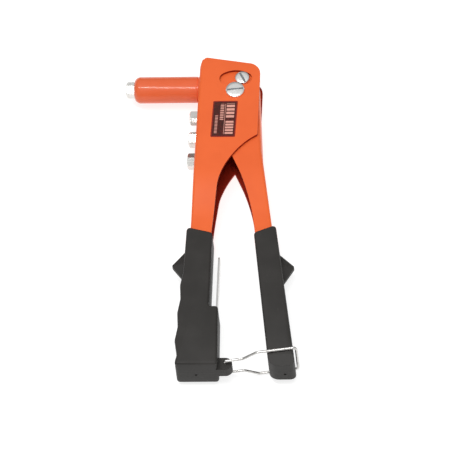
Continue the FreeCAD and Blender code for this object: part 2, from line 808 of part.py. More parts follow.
def build_jaw_housing():
    """The housing that closes the jaws as it is drawn back, and the nut that locks it to the rod."""
    cone_end = d.cone_front - d.cone_length
    housing = turned("jaw_housing", [
        (-d.housing_front, d.cone_small),
        (-d.housing_front, d.housing_radius, d.housing_corner),
        (-d.housing_back, d.housing_radius),
        (-d.housing_back, d.cone_large),
        (-cone_end, d.cone_large),
        (-d.cone_front, d.cone_small),
    ])
    place(housing, y=d.nose_axis_y)
    start = -(d.housing_back - 0.2)
    blank = turned("lock_nut_blank", [
        (start, d.rod_thread + d.thread_gap),
        (start, d.lock_nut_flats / 2.0 * 1.155),
        (-d.lock_nut_back, d.lock_nut_flats / 2.0 * 1.155),
        (-d.lock_nut_back, d.rod_thread + d.thread_gap),
    ])
    bar = hexagon("lock_nut_bar", d.lock_nut_flats, start - 1.0, d.housing_back, 0.0)
    nut = place(boolean("MultiCommon", "rod_lock_nut", blank, [bar]), y=d.nose_axis_y)
    return [housing, nut]


def build_jaws():
    """Two half-conical jaws that grip the rivet's mandrel."""
    jaws = []
    for name, sign in (("jaw_upper", 1.0), ("jaw_lower", -1.0)):
        cone = turned(f"{name}_cone", [
            (-d.jaw_front, d.mandrel_groove),
            (-d.jaw_front, cone_radius(d.jaw_front) - d.jaw_gap),
            (-d.jaw_back, cone_radius(d.jaw_back) - d.jaw_gap),
            (-d.jaw_back, d.mandrel_groove),
        ])
        half = doc.addObject("Part::Box", f"{name}_half")
        half.setExpression("Length", (d.jaw_front - d.jaw_back + 2.0).text)
        half.setExpression("Width", d.housing_radius.text)
        half.setExpression("Height", (d.housing_radius * 2.0).text)
        low = d.jaw_split if sign > 0 else -(d.jaw_split + d.housing_radius)
        half.setExpression("Placement.Base.x", (-(d.jaw_front + 1.0)).text)
        half.setExpression("Placement.Base.y", low.text)
        half.setExpression("Placement.Base.z", (-d.housing_radius).text)
        jaws.append(place(boolean("MultiCommon", name, cone, [half]), y=d.nose_axis_y))
    return jaws


def build_jaw_pusher():
    """The sprung pusher behind the jaws."""
    flange_back = -(d.pusher_front - d.pusher_flange)
    pusher = turned("jaw_pusher", [
        (-d.pusher_front, d.mandrel_bore),
        (-d.pusher_front, d.pusher_radius),
        (flange_back, d.pusher_radius),
        (flange_back, d.pusher_stem),
        (-d.pusher_back, d.pusher_stem),
        (-d.pusher_back, d.mandrel_bore),
    ])
    return [place(pusher, y=d.nose_axis_y)]


def build_spring(name, radius, wire, start, length, turns):
    """A coil spring along X, made by sweeping its wire's section along a helix."""
    body = new_body(name)
    sketch = new_sketch(body, f"{name}_section", "XY_Plane")
    draw_circle(sketch, start + wire, radius, wire)
    coil = body.newObject("PartDesign::AdditiveHelix", f"{name}_coil")
    coil.Profile = sketch
    coil.ReferenceAxis = (sketch, ["H_Axis"])
    coil.Mode = "height-turns-growth"
    coil.setExpression("Height", (length - wire * 2.0).text)
    coil.setExpression("Turns", turns.text)
    coil.Growth = 0
    return place(body, y=d.nose_axis_y)


def build_springs():
    """The small spring behind the jaws and the return spring that opens the handle."""
    jaw_start = -(d.pusher_front - d.pusher_flange - 0.05)
    jaw_length = d.pusher_front - d.pusher_flange - d.rod_front - 0.1
    jaw_spring = build_spring("jaw_spring", d.jaw_spring_radius, d.jaw_spring_wire, jaw_start,
                              jaw_length, d.jaw_spring_turns)
    return_start = -(d.lock_nut_back - 0.05)
    guide_front = d.frame_back - web_lean(d.nose_axis_y) - d.plate + 0.3 + d.rod_guide_flange
    return_length = d.lock_nut_back - guide_front - 0.1
    return_spring = build_spring("return_spring", d.return_spring_radius, d.return_spring_wire,
                                 return_start, return_length, d.return_spring_turns)
    return [jaw_spring, return_spring]


def build_draw_rod():
    """The hollow rod that draws the jaws back, with a slotted eye for the pull pin."""
    eye_front = pull_x() - d.eye_behind
    bore_end = eye_front + 2.0
    rod = turned("draw_rod_turned", [
        (-d.rod_front, d.rod_counterbore),
        (-d.rod_front, d.rod_thread),
        (-d.lock_nut_back, d.rod_thread),
        (-d.lock_nut_back, d.rod_radius),
        (eye_front + 1.0, d.rod_radius),
        (eye_front + 1.0, d.mandrel_bore),
        (-(d.housing_back - 1.0), d.mandrel_bore),
        (-(d.housing_back - 1.0), d.rod_counterbore),
    ])
    eye = new_body("draw_rod_eye")
    sketch = new_sketch(eye, "eye_outline", "XY_Plane")
    rounding = d.eye_round
    draw_outline(sketch, [
        (eye_front, -d.rod_radius),
        (eye_front + 3.0, -d.eye_below, d.eye_corner),
        (pull_x() + d.eye_ahead, -d.eye_below, rounding),
        (pull_x() + d.eye_ahead, d.eye_above, rounding),
        (eye_front + 3.0, d.eye_above, d.eye_corner),
        (eye_front, d.rod_radius),
    ])
    pad(eye, sketch, "eye_pad", d.eye_half_width * 2.0)
    slot = new_body("draw_rod_slot")
    middle = d.pull_arm * ((d.pull_angle - 1.5).sin() + 1.0) / 2.0 - d.nose_axis_y
    half = d.eye_slot_half_width
    reach = d.pull_radius + d.eye_slot_play
    corner = half * 0.98
    slot_sketch = draw_outline(new_sketch(slot, "eye_slot", "XY_Plane"), [
        (pull_x() - half, middle - reach, corner),
        (pull_x() + half, middle - reach, corner),
        (pull_x() + half, middle + reach, corner),
        (pull_x() - half, middle + reach, corner),
    ])
    pad(slot, slot_sketch, "eye_slot_tool", d.eye_half_width * 4.0)
    bore = doc.addObject("Part::Cylinder", "eye_mandrel_bore")
    bore.setExpression("Radius", d.mandrel_bore.text)
    bore.Height = 4
    bore.Placement.Rotation = FreeCAD.Rotation(FreeCAD.Vector(0, 1, 0), 90)
    bore.setExpression("Placement.Base.x", (bore_end - 4.0).text)
    solid = boolean("MultiFuse", "draw_rod_solid", rod, [eye])
    tools = boolean("MultiFuse", "draw_rod_tools", slot, [bore])
    return [place(boolean("Cut", "draw_rod", solid, [tools]), y=d.nose_axis_y)]


def finger_side():
    """Corners of the fixed grip's outer side, from the heel up past the finger bumps."""
    corners = []
    for index in (2, 1, 0):
        crest_y = -(d.bump_first_y + d.bump_pitch * float(index))
        crest_x = -(d.grip_left + d.bump_height + d.bump_lean * float(index))
        valley_x = -(d.grip_left + d.bump_lean * float(index))
        corners.append((crest_x, crest_y, d.bump_radius))
        corners.append((valley_x, crest_y + d.bump_pitch / 2.0, d.bump_radius))
    return corners


def fin(name, x, middle_y, reach, half_length, tilt):
    """A triangular guard that stands out of a grip's side."""
    body = new_body(name)
    sketch = new_sketch(body, f"{name}_outline", "XY_Plane")
    inside = d.fin_root
    side = -1.0 if reach.value < 0 else 1.0
    draw_outline(sketch, [
        (-inside * side, -half_length),
        (ZERO, -half_length),
        (reach, ZERO, d.fin_tip_round),
        (ZERO, half_length),
        (-inside * side, half_length),
    ])
    pad(body, sketch, f"{name}_pad", d.fin_half_depth * 2.0)
    body.Placement.Rotation.Axis = FreeCAD.Vector(0, 0, 1)
    body.setExpression("Placement.Rotation.Angle", tilt.text)
    body.setExpression("Placement.Base.x", x.text)
    body.setExpression("Placement.Base.y", middle_y.text)
    return body


def build_fixed_grip():
    """The fixed grip, with its arm socket, spanner pocket and the lug for the wire latch."""
    body = new_body("fixed_grip_blank")
    sketch = new_sketch(body, "fixed_grip_outline", "XY_Plane")
    slant = d.grip_mouth_slant
    draw_outline(sketch, [
        (-(d.grip_left - 0.8), -(d.arm_mouth_y - 2.3), d.grip_round),
        (-d.grip_right, -(d.arm_mouth_y - 2.3 + slant), d.grip_round),
        (-d.grip_right, -d.box_top, d.grip_round),
        (-d.box_right, -d.box_top, d.grip_round),
        (-d.box_right, -d.grip_bottom, d.grip_round),
        (-(d.grip_left + d.bump_lean * 4.4), -d.grip_bottom, d.grip_round),
        (-(d.grip_left + d.bump_lean * 2.2), -(d.grip_bottom - 9.0), d.bump_radius),
        *finger_side(),
    ])
    pad(body, sketch, "fixed_grip_pad", d.grip_half_depth * 2.0)
    grip_taper(body, "fixed_grip", d.grip_half_depth)
    guard = fin("fixed_grip_fin", -d.grip_left, -d.fin_middle_y, -d.fin_reach, d.fin_half_length, ZERO)
    lug = new_body("latch_lug")
    lug_sketch = new_sketch(lug, "lug_outline", "XY_Plane")
    draw_outline(lug_sketch, [
        (-(d.box_right + 2.0), -(d.lug_y + d.lug_radius)),
        (d.lug_x + d.lug_radius, -(d.lug_y + d.lug_radius), d.lug_radius * 0.98),
        (d.lug_x + d.lug_radius, -(d.lug_y - d.lug_radius), d.lug_radius * 0.98),
        (-(d.box_right + 2.0), -(d.lug_y - d.lug_radius)),
    ])
    pad(lug, lug_sketch, "lug_pad", d.lug_half_width * 2.0)
    solid = boolean("MultiFuse", "fixed_grip_solid", body, [guard, lug])
    socket = new_body("fixed_grip_socket")
    socket_sketch = new_sketch(socket, "socket_outline", "XY_Plane")
    gap = d.grip_gap
    draw_outline(socket_sketch, [
        (-(d.arm_back + gap), -(d.arm_mouth_y - 10.0)),
        (-(d.arm_back + gap), -d.arm_mouth_y),
        (-(d.arm_end_back + gap), -(d.arm_end_y + 1.0)),
        (-(d.arm_end_front - gap), -(d.arm_end_y + 1.0)),
        (-(d.arm_front - gap), -d.arm_mouth_y),
        (-(d.arm_front - 2.5), -(d.arm_mouth_y - 10.0)),
    ])
    pad(socket, socket_sketch, "socket_pad", (d.arm_half_depth + gap) * 2.0)
    pocket = doc.addObject("Part::Box", "spanner_pocket")
    room = d.spanner_half_thick + 0.3
    pocket.setExpression("Length", (room * 2.0).text)
    pocket.setExpression("Width", (d.spanner_pocket_end - d.box_top + 5.0).text)
    pocket.setExpression("Height", (d.spanner_head * 2.0 + 1.0).text)
    pocket.setExpression("Placement.Base.x", (-(d.spanner_x + room)).text)
    pocket.setExpression("Placement.Base.y", (-d.spanner_pocket_end).text)
    pocket.setExpression("Placement.Base.z", (-(d.spanner_head + 0.5)).text)
    latch_hole = doc.addObject("Part::Cylinder", "latch_hole")
    latch_hole.setExpression("Radius", (d.latch_wire + d.running_gap).text)
    latch_hole.setExpression("Height", (d.lug_half_width * 4.0).text)
    latch_hole.setExpression("Placement.Base.x", d.lug_x.text)
    latch_hole.setExpression("Placement.Base.y", (-d.lug_y).text)
    latch_hole.setExpression("Placement.Base.z", (d.lug_half_width * -2.0).text)
    tools = boolean("MultiFuse", "fixed_grip_tools", socket, [pocket, latch_hole])
    return place(boolean("Cut", "fixed_grip", solid, [tools]))


def grip_taper(body, name, half_depth):
    """Slim a grip towards its mouth, in front and behind."""
    far = Size(20.0, "20")
    mouth_y = d.arm_mouth_y - 8.0
    for side, sign in {"front": 1.0, "rear": -1.0}.items():
        sketch = new_sketch(body, f"{name}_{side}_taper", "YZ_Plane")
        corners = [
            (-d.grip_full_y, half_depth * sign),
            (-d.grip_full_y, (half_depth + far) * sign),
            (-mouth_y, (half_depth + far) * sign),
            (-mouth_y, d.grip_mouth_half_depth * sign),
        ]
        pocket_through(body, draw_outline(sketch, corners), f"{name}_{side}_taper_cut")


def build_moving_grip():
    """The moving grip, moulded over the moving handle's arm."""
    body = new_body("moving_grip_blank")
    sketch = new_sketch(body, "moving_grip_outline", "XY_Plane")
    length = d.grip_bottom - d.moving_grip_mouth_y
    heel_front = d.moving_grip_mouth_x + length * d.moving_grip_tilt.tan()
    mouth_back = d.moving_grip_mouth_x - d.moving_grip_width + 1.0
    heel_back = heel_front - d.moving_grip_width - d.moving_grip_extra
    draw_outline(sketch, [
        (d.moving_grip_mouth_x, -d.moving_grip_mouth_y, d.grip_round),
        (heel_front, -d.grip_bottom, d.grip_round * 2.0),
        (heel_back, -d.grip_bottom, d.moving_grip_heel_radius),
        (mouth_back, -(d.moving_grip_mouth_y + d.moving_grip_slant), d.grip_round),
    ])
    pad(body, sketch, "moving_grip_pad", d.moving_grip_half_depth * 2.0)
    grip_taper(body, "moving_grip", d.moving_grip_half_depth)
    fin_drop = d.fin_middle_y + 3.0 - d.moving_grip_mouth_y
    fin_x = d.moving_grip_mouth_x + fin_drop * d.moving_grip_tilt.tan()
    guard = fin("moving_grip_fin", fin_x, -(d.fin_middle_y + 3.0), d.fin_reach, d.fin_half_length,
                d.moving_grip_tilt)
    solid = boolean("MultiFuse", "moving_grip_solid", body, [guard])
    socket = new_body("moving_grip_socket")
    gap = d.grip_gap
    rise = d.grip_socket_rise
    slope = (d.handle_end_front - d.handle_mouth_front) / (d.handle_end_y - d.handle_mouth_y)
    top_front = d.handle_mouth_front - slope * rise
    socket_sketch = draw_outline(new_sketch(socket, "handle_socket_outline", "XY_Plane"), [
        (d.handle_mouth_back - gap - 2.5, -(d.handle_mouth_y - rise)),
        (top_front + gap * 3.0, -(d.handle_mouth_y - rise)),
        (d.handle_mouth_front + gap, -d.handle_mouth_y),
        (d.handle_end_front + gap, -(d.handle_end_y + 1.0)),
        (d.handle_end_back - gap, -(d.handle_end_y + 1.0)),
        (d.handle_mouth_back - gap, -d.handle_mouth_y),
    ])
    pad(socket, socket_sketch, "handle_socket_pad", (d.handle_arm_half_depth + gap) * 2.0)
    return place(boolean("Cut", "moving_grip", solid, [socket]))


def build_latch():
    """The wire latch: a flared bail whose ends turn in the lug of the fixed grip."""
    body = new_body("latch_wire")
    path = new_sketch(body, "latch_path", "XZ_Plane")
    pin_tip = d.latch_narrow - d.latch_pin_length
    bend = d.latch_bend
    draw_outline(path, [
        (ZERO, pin_tip),
        (ZERO, d.latch_narrow, bend * 0.6),
        (d.latch_flare_start, d.latch_narrow, bend),
        (d.latch_flare_end, d.latch_wide, bend),
        (d.latch_reach, d.latch_wide, bend),
        (d.latch_reach, -d.latch_wide, bend),
        (d.latch_flare_end, -d.latch_wide, bend),
        (d.latch_flare_start, -d.latch_narrow, bend),
        (ZERO, -d.latch_narrow, bend * 0.6),
        (ZERO, -pin_tip),
    ], closed=False)
    section = new_sketch(body, "latch_section", "XY_Plane")
    section.setExpression("AttachmentOffset.Base.z", pin_tip.text)
    draw_circle(section, ZERO, ZERO, d.latch_wire)
    pipe = body.newObject("PartDesign::AdditivePipe", "latch_sweep")
    pipe.Profile = section
    pipe.Spine = path
    place(body, d.lug_x, -d.lug_y, turn_axis=FreeCAD.Vector(0, 0, 1), turn=d.latch_angle)
    return [body]


def build_spanner():
    """The flat open-ended spanner for the nosepieces, stored in the fixed grip."""
    body = new_body("spanner")
    sketch = new_sketch(body, "spanner_outline", "YZ_Plane")
    shoulder = -(d.spanner_bottom - d.spanner_head_length)
    jaw_floor = -(d.spanner_bottom - d.spanner_jaw_depth)
    draw_outline(sketch, [
        (-d.spanner_top, -d.spanner_shank, d.spanner_end_round),
        (-d.spanner_top, d.spanner_shank, d.spanner_end_round),
        (shoulder + 4.0, d.spanner_shank),
        (shoulder, d.spanner_head, d.spanner_shoulder_round),
        (-d.spanner_bottom, d.spanner_head, d.spanner_jaw_round),
        (-d.spanner_bottom, d.spanner_jaw),
        (jaw_floor, d.spanner_jaw),
        (jaw_floor, -d.spanner_jaw),
        (-d.spanner_bottom, -d.spanner_jaw),
        (-d.spanner_bottom, -d.spanner_head, d.spanner_jaw_round),
        (shoulder, -d.spanner_head, d.spanner_shoulder_round),
        (shoulder + 4.0, -d.spanner_shank),
    ])
    pad(body, sketch, "spanner_pad", d.spanner_half_thick * 2.0)
    return [place(body, -d.spanner_x)]


def build_label():
    """The printed label on the frame's front plate."""
    body = new_body("label_plate")
    sketch = new_sketch(body, "label_outline", "XY_Plane")
    right = -(d.label_left - d.label_width)
    low = -(d.label_top + d.label_height)
    draw_outline(sketch, [
        (-d.label_left, -d.label_top),
        (-(d.label_left + d.label_lean), low),
        (right - d.label_lean, low),
        (right, -d.label_top),
    ])
    pad(body, sketch, "label_pad", d.label_thickness)
    return [place(body, z=d.head_half_depth + d.label_thickness / 2.0 + 0.01)]


def check_document():
    """Stop if any object of the document failed to compute."""
    doc.recompute()
    failed = [obj.Name for obj in doc.Objects if "Invalid" in obj.State or "Error" in obj.State]
    if failed:
        raise RuntimeError(f"these objects failed to compute: {failed}")


def export(parts):
    """Check each sub-part's shape and write it to its own STEP file."""
    os.makedirs("parts", exist_ok=True)
    for part in parts:
        shape = part.Shape
        if shape.isNull() or not shape.isValid() or not shape.Solids:
            raise RuntimeError(f"{part.Label} has no valid solid")
        box = shape.BoundBox
        print(f"{part.Label:24s} {len(shape.Solids)} solid(s) {shape.Volume:10.1f} mm3"
              f"  x {box.XMin:7.2f} {box.XMax:7.2f}  y {box.YMin:7.2f} {box.YMax:7.2f}"
              f"  z {box.ZMin:6.2f} {box.ZMax:6.2f}")
        shape.exportStep(os.path.join("parts", f"{part.Label}.step"))


def main():
    parts = [
        build_frame(),
        build_moving_handle(),
        *build_pivot(),
        *build_pull_pin(),
        *build_nose_sleeve(),
        *build_nosepieces(),
        *build_jaw_housing(),
        *build_jaws(),
        *build_jaw_pusher(),
        *build_springs(),
        *build_draw_rod(),
        build_fixed_grip(),
        build_moving_grip(),
        *build_latch(),
        *build_spanner(),
        *build_label(),
    ]
    check_document()
    export(parts)


main()
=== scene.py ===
"""Looks of a hand riveter: a folded steel tool with two moulded grips, lying on its back.

Every size here is in millimetres and measured from the handle's pivot axis at the mid-plane:
the nose points along -X, the head is at +Y, the grips reach down to -Y and the labelled side
faces +Z. A finished piece is brought to metres and to the pivot's own place in one step.
"""
from __future__ import annotations

import logging
import math
from dataclasses import dataclass, replace
from enum import Enum
from typing import Callable, Iterable, Mapping, Sequence

import bmesh
import bpy
from mathutils import Matrix, Vector


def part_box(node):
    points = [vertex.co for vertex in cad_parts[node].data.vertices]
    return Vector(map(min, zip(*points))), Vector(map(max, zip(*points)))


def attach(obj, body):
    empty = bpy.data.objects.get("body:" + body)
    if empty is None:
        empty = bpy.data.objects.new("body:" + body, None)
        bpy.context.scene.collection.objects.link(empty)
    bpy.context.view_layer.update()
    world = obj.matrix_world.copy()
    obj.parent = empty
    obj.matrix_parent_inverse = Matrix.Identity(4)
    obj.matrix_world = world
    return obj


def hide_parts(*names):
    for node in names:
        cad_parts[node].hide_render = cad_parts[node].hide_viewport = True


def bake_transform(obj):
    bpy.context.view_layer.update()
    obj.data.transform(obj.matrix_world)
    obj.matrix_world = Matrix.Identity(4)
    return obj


logging.basicConfig(level=logging.INFO, format="%(message)s")
LOG = logging.getLogger("riveter")

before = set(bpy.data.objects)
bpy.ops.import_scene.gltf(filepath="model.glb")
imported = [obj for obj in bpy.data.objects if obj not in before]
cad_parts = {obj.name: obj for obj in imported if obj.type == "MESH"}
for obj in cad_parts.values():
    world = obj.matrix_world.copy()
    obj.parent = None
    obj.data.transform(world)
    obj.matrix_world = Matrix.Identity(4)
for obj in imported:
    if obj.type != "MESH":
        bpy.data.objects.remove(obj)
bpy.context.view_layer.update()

MM = 0.001
TINY = 1e-4
EDGE_STEPS = 3
WHOLE_TURN = 2.0 * math.pi
PIVOT = sum(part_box("pivot_bush"), Vector((0.0, 0.0, 0.0))) / 2.0

Colour = tuple[float, float, float]
Corner = tuple[float, ...]
Point = tuple[float, float]
Shape = bmesh.types.BMesh
Loop = Callable[[Shape, float], None]

# Places that more than one piece is built round.
NOSE_Y = 10.3
SLOT_RADIUS = 12.4
PULL_ANGLE = math.radians(68.0)
PULL_AT = (SLOT_RADIUS * math.cos(PULL_ANGLE), SLOT_RADIUS * math.sin(PULL_ANGLE))
LATCH_HINGE = (0.8, -230.8)
HEEL_Y = -236.0
SIDE_CORNER = (-26.5, 21.5)
SIDE_SLOPE = 0.0122
SPARE_HEIGHTS = {"small": -15.0, "medium": -34.0, "large": -53.0}


def side_x(height: float) -> float:
    """Where the outer face of the frame's nose side stands at a height."""
    return SIDE_CORNER[0] - SIDE_SLOPE * (SIDE_CORNER[1] - height)


class Join(Enum):
    """How two solids are put together."""

    ADD = "UNION"
    CUT = "DIFFERENCE"
    SHARE = "INTERSECT"


class Axis(Enum):
    """Which way a turned piece points."""

    NOSE = "X"
    UP = "Z"


class Body(Enum):
    """The bodies that the pieces ride on."""

    FRAME = "frame_body"
    HANDLE = "handle_body"
    DRAW = "draw_body"
    PUSHER = "pusher_body"
    JAW_UPPER = "jaw_upper_body"
    JAW_LOWER = "jaw_lower_body"
    LATCH = "latch_body"
    SPANNER = "spanner_body"


# ---------------------------------------------------------------- shader maths


class Signal:
    """A shader socket that takes part in sums, products and steps."""

    def __init__(self, desk: "Desk", socket: bpy.types.NodeSocket) -> None:
        """Keep the socket and the desk that its nodes are made on."""
        self.desk = desk
        self.socket = socket

    def _maths(self, operation: str, *values: object) -> "Signal":
        """Add one Math node on numbers or signals, and return its result."""
        inputs = dict(enumerate(values))
        return self.desk.signal("ShaderNodeMath", {"operation": operation}, inputs)

    def __add__(self, other: object) -> "Signal":
        """Sum of two signals."""
        return self._maths("ADD", self, other)

    def __sub__(self, other: object) -> "Signal":
        """Difference of two signals."""
        return self._maths("SUBTRACT", self, other)

    def __rsub__(self, other: object) -> "Signal":
        """A number less this signal."""
        return self._maths("SUBTRACT", other, self)

    def __mul__(self, other: object) -> "Signal":
        """Product of two signals."""
        return self._maths("MULTIPLY", self, other)

    def __mod__(self, other: object) -> "Signal":
        """What is left of this signal past whole multiples of another."""
        return self._maths("FLOORED_MODULO", self, other)

    __radd__ = __add__
    __rmul__ = __mul__

    def size(self) -> "Signal":
        """The signal without its sign."""
        return self._maths("ABSOLUTE", self)

    def step(self, low: float, high: float) -> "Signal":
        """A soft step from 0 at low to 1 at high, or down again where high is below low."""
        settings = {"interpolation_type": "SMOOTHSTEP"}
        return self.desk.signal("ShaderNodeMapRange", settings, {0: self, 1: low, 2: high})

    def within(self, low: float, high: float, soft: float) -> "Signal":
        """A band that is 1 between two values and falls to 0 past its soft edges."""
        return self.step(low - soft, low + soft) * self.step(high + soft, high - soft)


class Desk:
    """The node tree of one material."""

    def __init__(self, name: str, sky: bool = False) -> None:
        """Start an empty node tree.

        Args:
            name: the name of the material.
            sky: whether it is the sky's tree, not a material's.
        """
        store = bpy.data.worlds if sky else bpy.data.materials
        self.material = store.new(name)
        self.material.use_nodes = True
        self.tree = self.material.node_tree
        self.tree.nodes.clear()

    def node(self, kind: str, settings: Mapping[str, object] | None = None,
             inputs: Mapping[str | int, object] | None = None) -> bpy.types.Node:
        """Add a node.

        Args:
            kind: the node's type.
            settings: its properties, and a ramp's stops.
            inputs: values, sockets or signals for its inputs.

        Returns:
            The node.
        """
        made = self.tree.nodes.new(kind)
        for name, value in (settings or {}).items():
            setattr(made, name, value)
        for key, value in (inputs or {}).items():
            if isinstance(value, Signal):
                value = value.socket
            if isinstance(value, bpy.types.NodeSocket):
                self.tree.links.new(value, made.inputs[key])
            else:
                made.inputs[key].default_value = value
        return made

    def signal(self, kind: str, settings: Mapping[str, object] | None = None,
               inputs: Mapping[str | int, object] | None = None, output: str | int = 0) -> Signal:
        """Add a node, as node() does, and return one of its outputs as a signal."""
        return Signal(self, self.node(kind, settings, inputs).outputs[output])

    def place(self, centre: Sequence[float] = (0.0, 0.0, 0.0),
              turn: Sequence[float] = (0.0, 0.0, 0.0)) -> Signal:
        """Where a point lies on the tool.

        Args:
            centre: the pattern's own middle, in millimetres from the pivot.
            turn: how the pattern is turned about the three axes, in radians.

        Returns:
            The place as a vector, in millimetres.
        """
        spot = self.signal("ShaderNodeTexCoord", output="Object")
        middle = PIVOT + Vector(centre) * MM
        inputs = {"Vector": spot, "Location": middle, "Rotation": turn, "Scale": (MM,) * 3}
        return self.signal("ShaderNodeMapping", {"vector_type": "TEXTURE"}, inputs)

    def axes(self, vector: Signal) -> list[Signal]:
        """The three parts of a vector."""
        parts = self.node("ShaderNodeSeparateXYZ", None, {0: vector}).outputs
        return [Signal(self, part) for part in parts]

    def noise(self, place: Signal, per_mm: float, detail: float = 2.0) -> Signal:
        """Soft random variation round a half, with so many lumps in a millimetre."""
        inputs = {"Vector": place, "Scale": per_mm, "Detail": detail}
        return self.signal("ShaderNodeTexNoise", None, inputs)

    def stretched(self, place: Signal, scale: Sequence[float]) -> Signal:
        """A place with its axes stretched, for streaks."""
        inputs = {0: place, 1: tuple(scale)}
        return self.signal("ShaderNodeVectorMath", {"operation": "MULTIPLY"}, inputs)

    def rings(self, place: Signal, axis: Axis, per_mm: float) -> Signal:
        """Fine turning marks round an axis.

        Args:
            place: where a point lies from the piece's own axis, in millimetres.
            axis: the axis that the piece was turned about.
            per_mm: rings in a millimetre.

        Returns:
            A signal between 0 and 1.
        """
        settings = {"wave_type": "RINGS", "rings_direction": axis.value}
        inputs = {"Vector": place, "Scale": per_mm, "Distortion": 0.6, "Detail": 2.0}
        return self.signal("ShaderNodeTexWave", settings, inputs, "Fac")

    def blend(self, share: Signal | float, first: object, second: object) -> Signal:
        """Mix two colours.

        Args:
            share: how much of the second shows.
            first: a colour or a colour signal.
            second: another.

        Returns:
            The mixed colour.
        """
        def whole(colour: object) -> object:
            """A plain colour with its alpha."""
            return colour if isinstance(colour, Signal) else (*colour, 1.0)
        inputs = {0: share, 6: whole(first), 7: whole(second)}
        return self.signal("ShaderNodeMix", {"data_type": "RGBA"}, inputs, 2)

    def bump(self, height: Signal, depth: float, under: Signal | None = None) -> Signal:
        """Surface relief.

        Args:
            height: the relief, from 0 to 1.
            depth: how deep it is, in millimetres.
            under: a relief that this one lies on.

        Returns:
            The surface's normal.
        """
        inputs = {"Height": height, "Distance": depth * MM, "Strength": 1.0}
        if under is not None:
            inputs["Normal"] = under
        return self.signal("ShaderNodeBump", None, inputs)

    def surface(self, **inputs: object) -> bpy.types.Material:
        """Close the tree with a Principled surface.

        Args:
            inputs: its sockets, with underscores for the spaces in their names.

        Returns:
            The material.
        """
        named = {name.replace("_", " "): value for name, value in inputs.items()}
        if isinstance(named.get("Base Color"), tuple):
            named["Base Color"] = (*named["Base Color"], 1.0)
        shader = self.node("ShaderNodeBsdfPrincipled", None, named)
        self.node("ShaderNodeOutputMaterial", None, {"Surface": shader.outputs[0]})
        return self.material


# ---------------------------------------------------------------- finishes


@dataclass(frozen=True)
class Enamel:
    """Enamel on steel, with a faint orange-peel skin and, where it has a coat, a wet gloss."""

    slot: str = "orange_paint"
    colour: Colour = (0.86, 0.142, 0.032)
    deep: Colour = (0.74, 0.105, 0.020)
    gloss: float = 0.36
    coat: float = 0.0
    coat_gloss: float = 0.12
    shine: float = 0.30

    def material(self, name: str) -> bpy.types.Material:
        """Build the finish.

        Args:
            name: the material's name.

        Returns:
            The material.
        """
        desk = Desk(name)
        place = desk.place()
        cloud = desk.noise(place, 0.045, 3.0)
        peel = desk.noise(place, 0.85, 2.0)
        speck = desk.noise(place, 2.6, 1.0).step(0.70, 0.78)
        colour = desk.blend(cloud.step(0.35, 0.75) * 0.35, self.colour, self.deep)
        colour = desk.blend(speck * 0.25, colour, self.deep)
        rough = self.gloss + 0.10 * cloud + 0.12 * speck
        return desk.surface(Base_Color=colour, Roughness=rough, Specular_IOR_Level=self.shine,
                            Coat_Weight=self.coat, Coat_Roughness=self.coat_gloss,
                            Normal=desk.bump(peel, 0.012))


@dataclass(frozen=True)
class Metal:
    """Bare or plated metal, with turning marks where it was turned.

    Painted shade, where there is any, darkens what lies below a height and within a radius of the
    piece's own axis, such as the inside of a screw's slot.
    """

    slot: str
    colour: Colour = (0.74, 0.73, 0.71)
    stain: Colour = (0.52, 0.50, 0.47)
    rough: float = 0.24
    marks: float = 0.010
    rings_per_mm: float = 1.6
    centre: tuple[float, float, float] = (0.0, 0.0, 0.0)
    axis: Axis | None = None
    painted_shade_zone: Point | None = None
    painted_shade_colour: Colour = (0.22, 0.24, 0.26)

    def material(self, name: str) -> bpy.types.Material:
        """Build the finish.

        Args:
            name: the material's name.

        Returns:
            The material.
        """
        desk = Desk(name)
        place = desk.place(self.centre)
        cloud = desk.noise(place, 0.35, 4.0)
        grain = desk.noise(place, 3.2, 2.0)
        if self.axis is None:
            marks = desk.noise(desk.stretched(place, (0.25, 6.0, 6.0)), 1.0, 2.0)
        else:
            marks = desk.rings(place, self.axis, self.rings_per_mm)
        colour = desk.blend(cloud.step(0.45, 0.80) * 0.6, self.colour, self.stain)
        # Painted shade: darker below a height and near the axis, where a screw's slot falls in
        # shade.
        if self.painted_shade_zone:
            level, reach = self.painted_shade_zone
            flat = desk.stretched(place, (1.0, 1.0, 0.0))
            radius = desk.signal("ShaderNodeVectorMath", {"operation": "LENGTH"}, {0: flat},
                                 output="Value")
            below = desk.axes(place)[2].step(level + 0.12, level - 0.12)
            colour = desk.blend(below * radius.step(reach + 0.1, reach - 0.1) * 0.85, colour,
                                self.painted_shade_colour)
        rough = self.rough + 0.16 * cloud + 0.06 * marks
        relief = desk.bump(marks, self.marks)
        return desk.surface(Base_Color=colour, Metallic=1.0, Roughness=rough,
                            Normal=desk.bump(grain, self.marks * 0.5, relief))


@dataclass(frozen=True)
class Plastic:
    """Black moulded plastic with a fine grain, light scuffs and the mould's parting line."""

    slot: str = "black_plastic"
    colour: Colour = (0.029, 0.027, 0.025)
    scuff: Colour = (0.066, 0.062, 0.058)
    rough: float = 0.42
    seam_half_width: float = 0.16
    seam_depth: float = 0.14

    def material(self, name: str) -> bpy.types.Material:
        """Build the finish.

        Args:
            name: the material's name.

        Returns:
            The material.
        """
        desk = Desk(name)
        place = desk.place()
        grain = desk.noise(place, 3.4, 3.0)
        cloud = desk.noise(place, 0.06, 3.0)
        streak = desk.noise(desk.stretched(place, (1.4, 0.22, 1.4)), 0.9, 3.0).step(0.66, 0.82)
        colour = desk.blend(streak * 0.5 + cloud.step(0.3, 0.9) * 0.3, self.colour, self.scuff)
        rough = self.rough + 0.14 * cloud + 0.10 * grain
        half = self.seam_half_width
        seam = desk.bump(desk.axes(place)[2].within(-half, half, 0.14), self.seam_depth)
        return desk.surface(Base_Color=colour, Roughness=rough, Specular_IOR_Level=0.26,
                            Normal=desk.bump(grain, 0.035, seam))


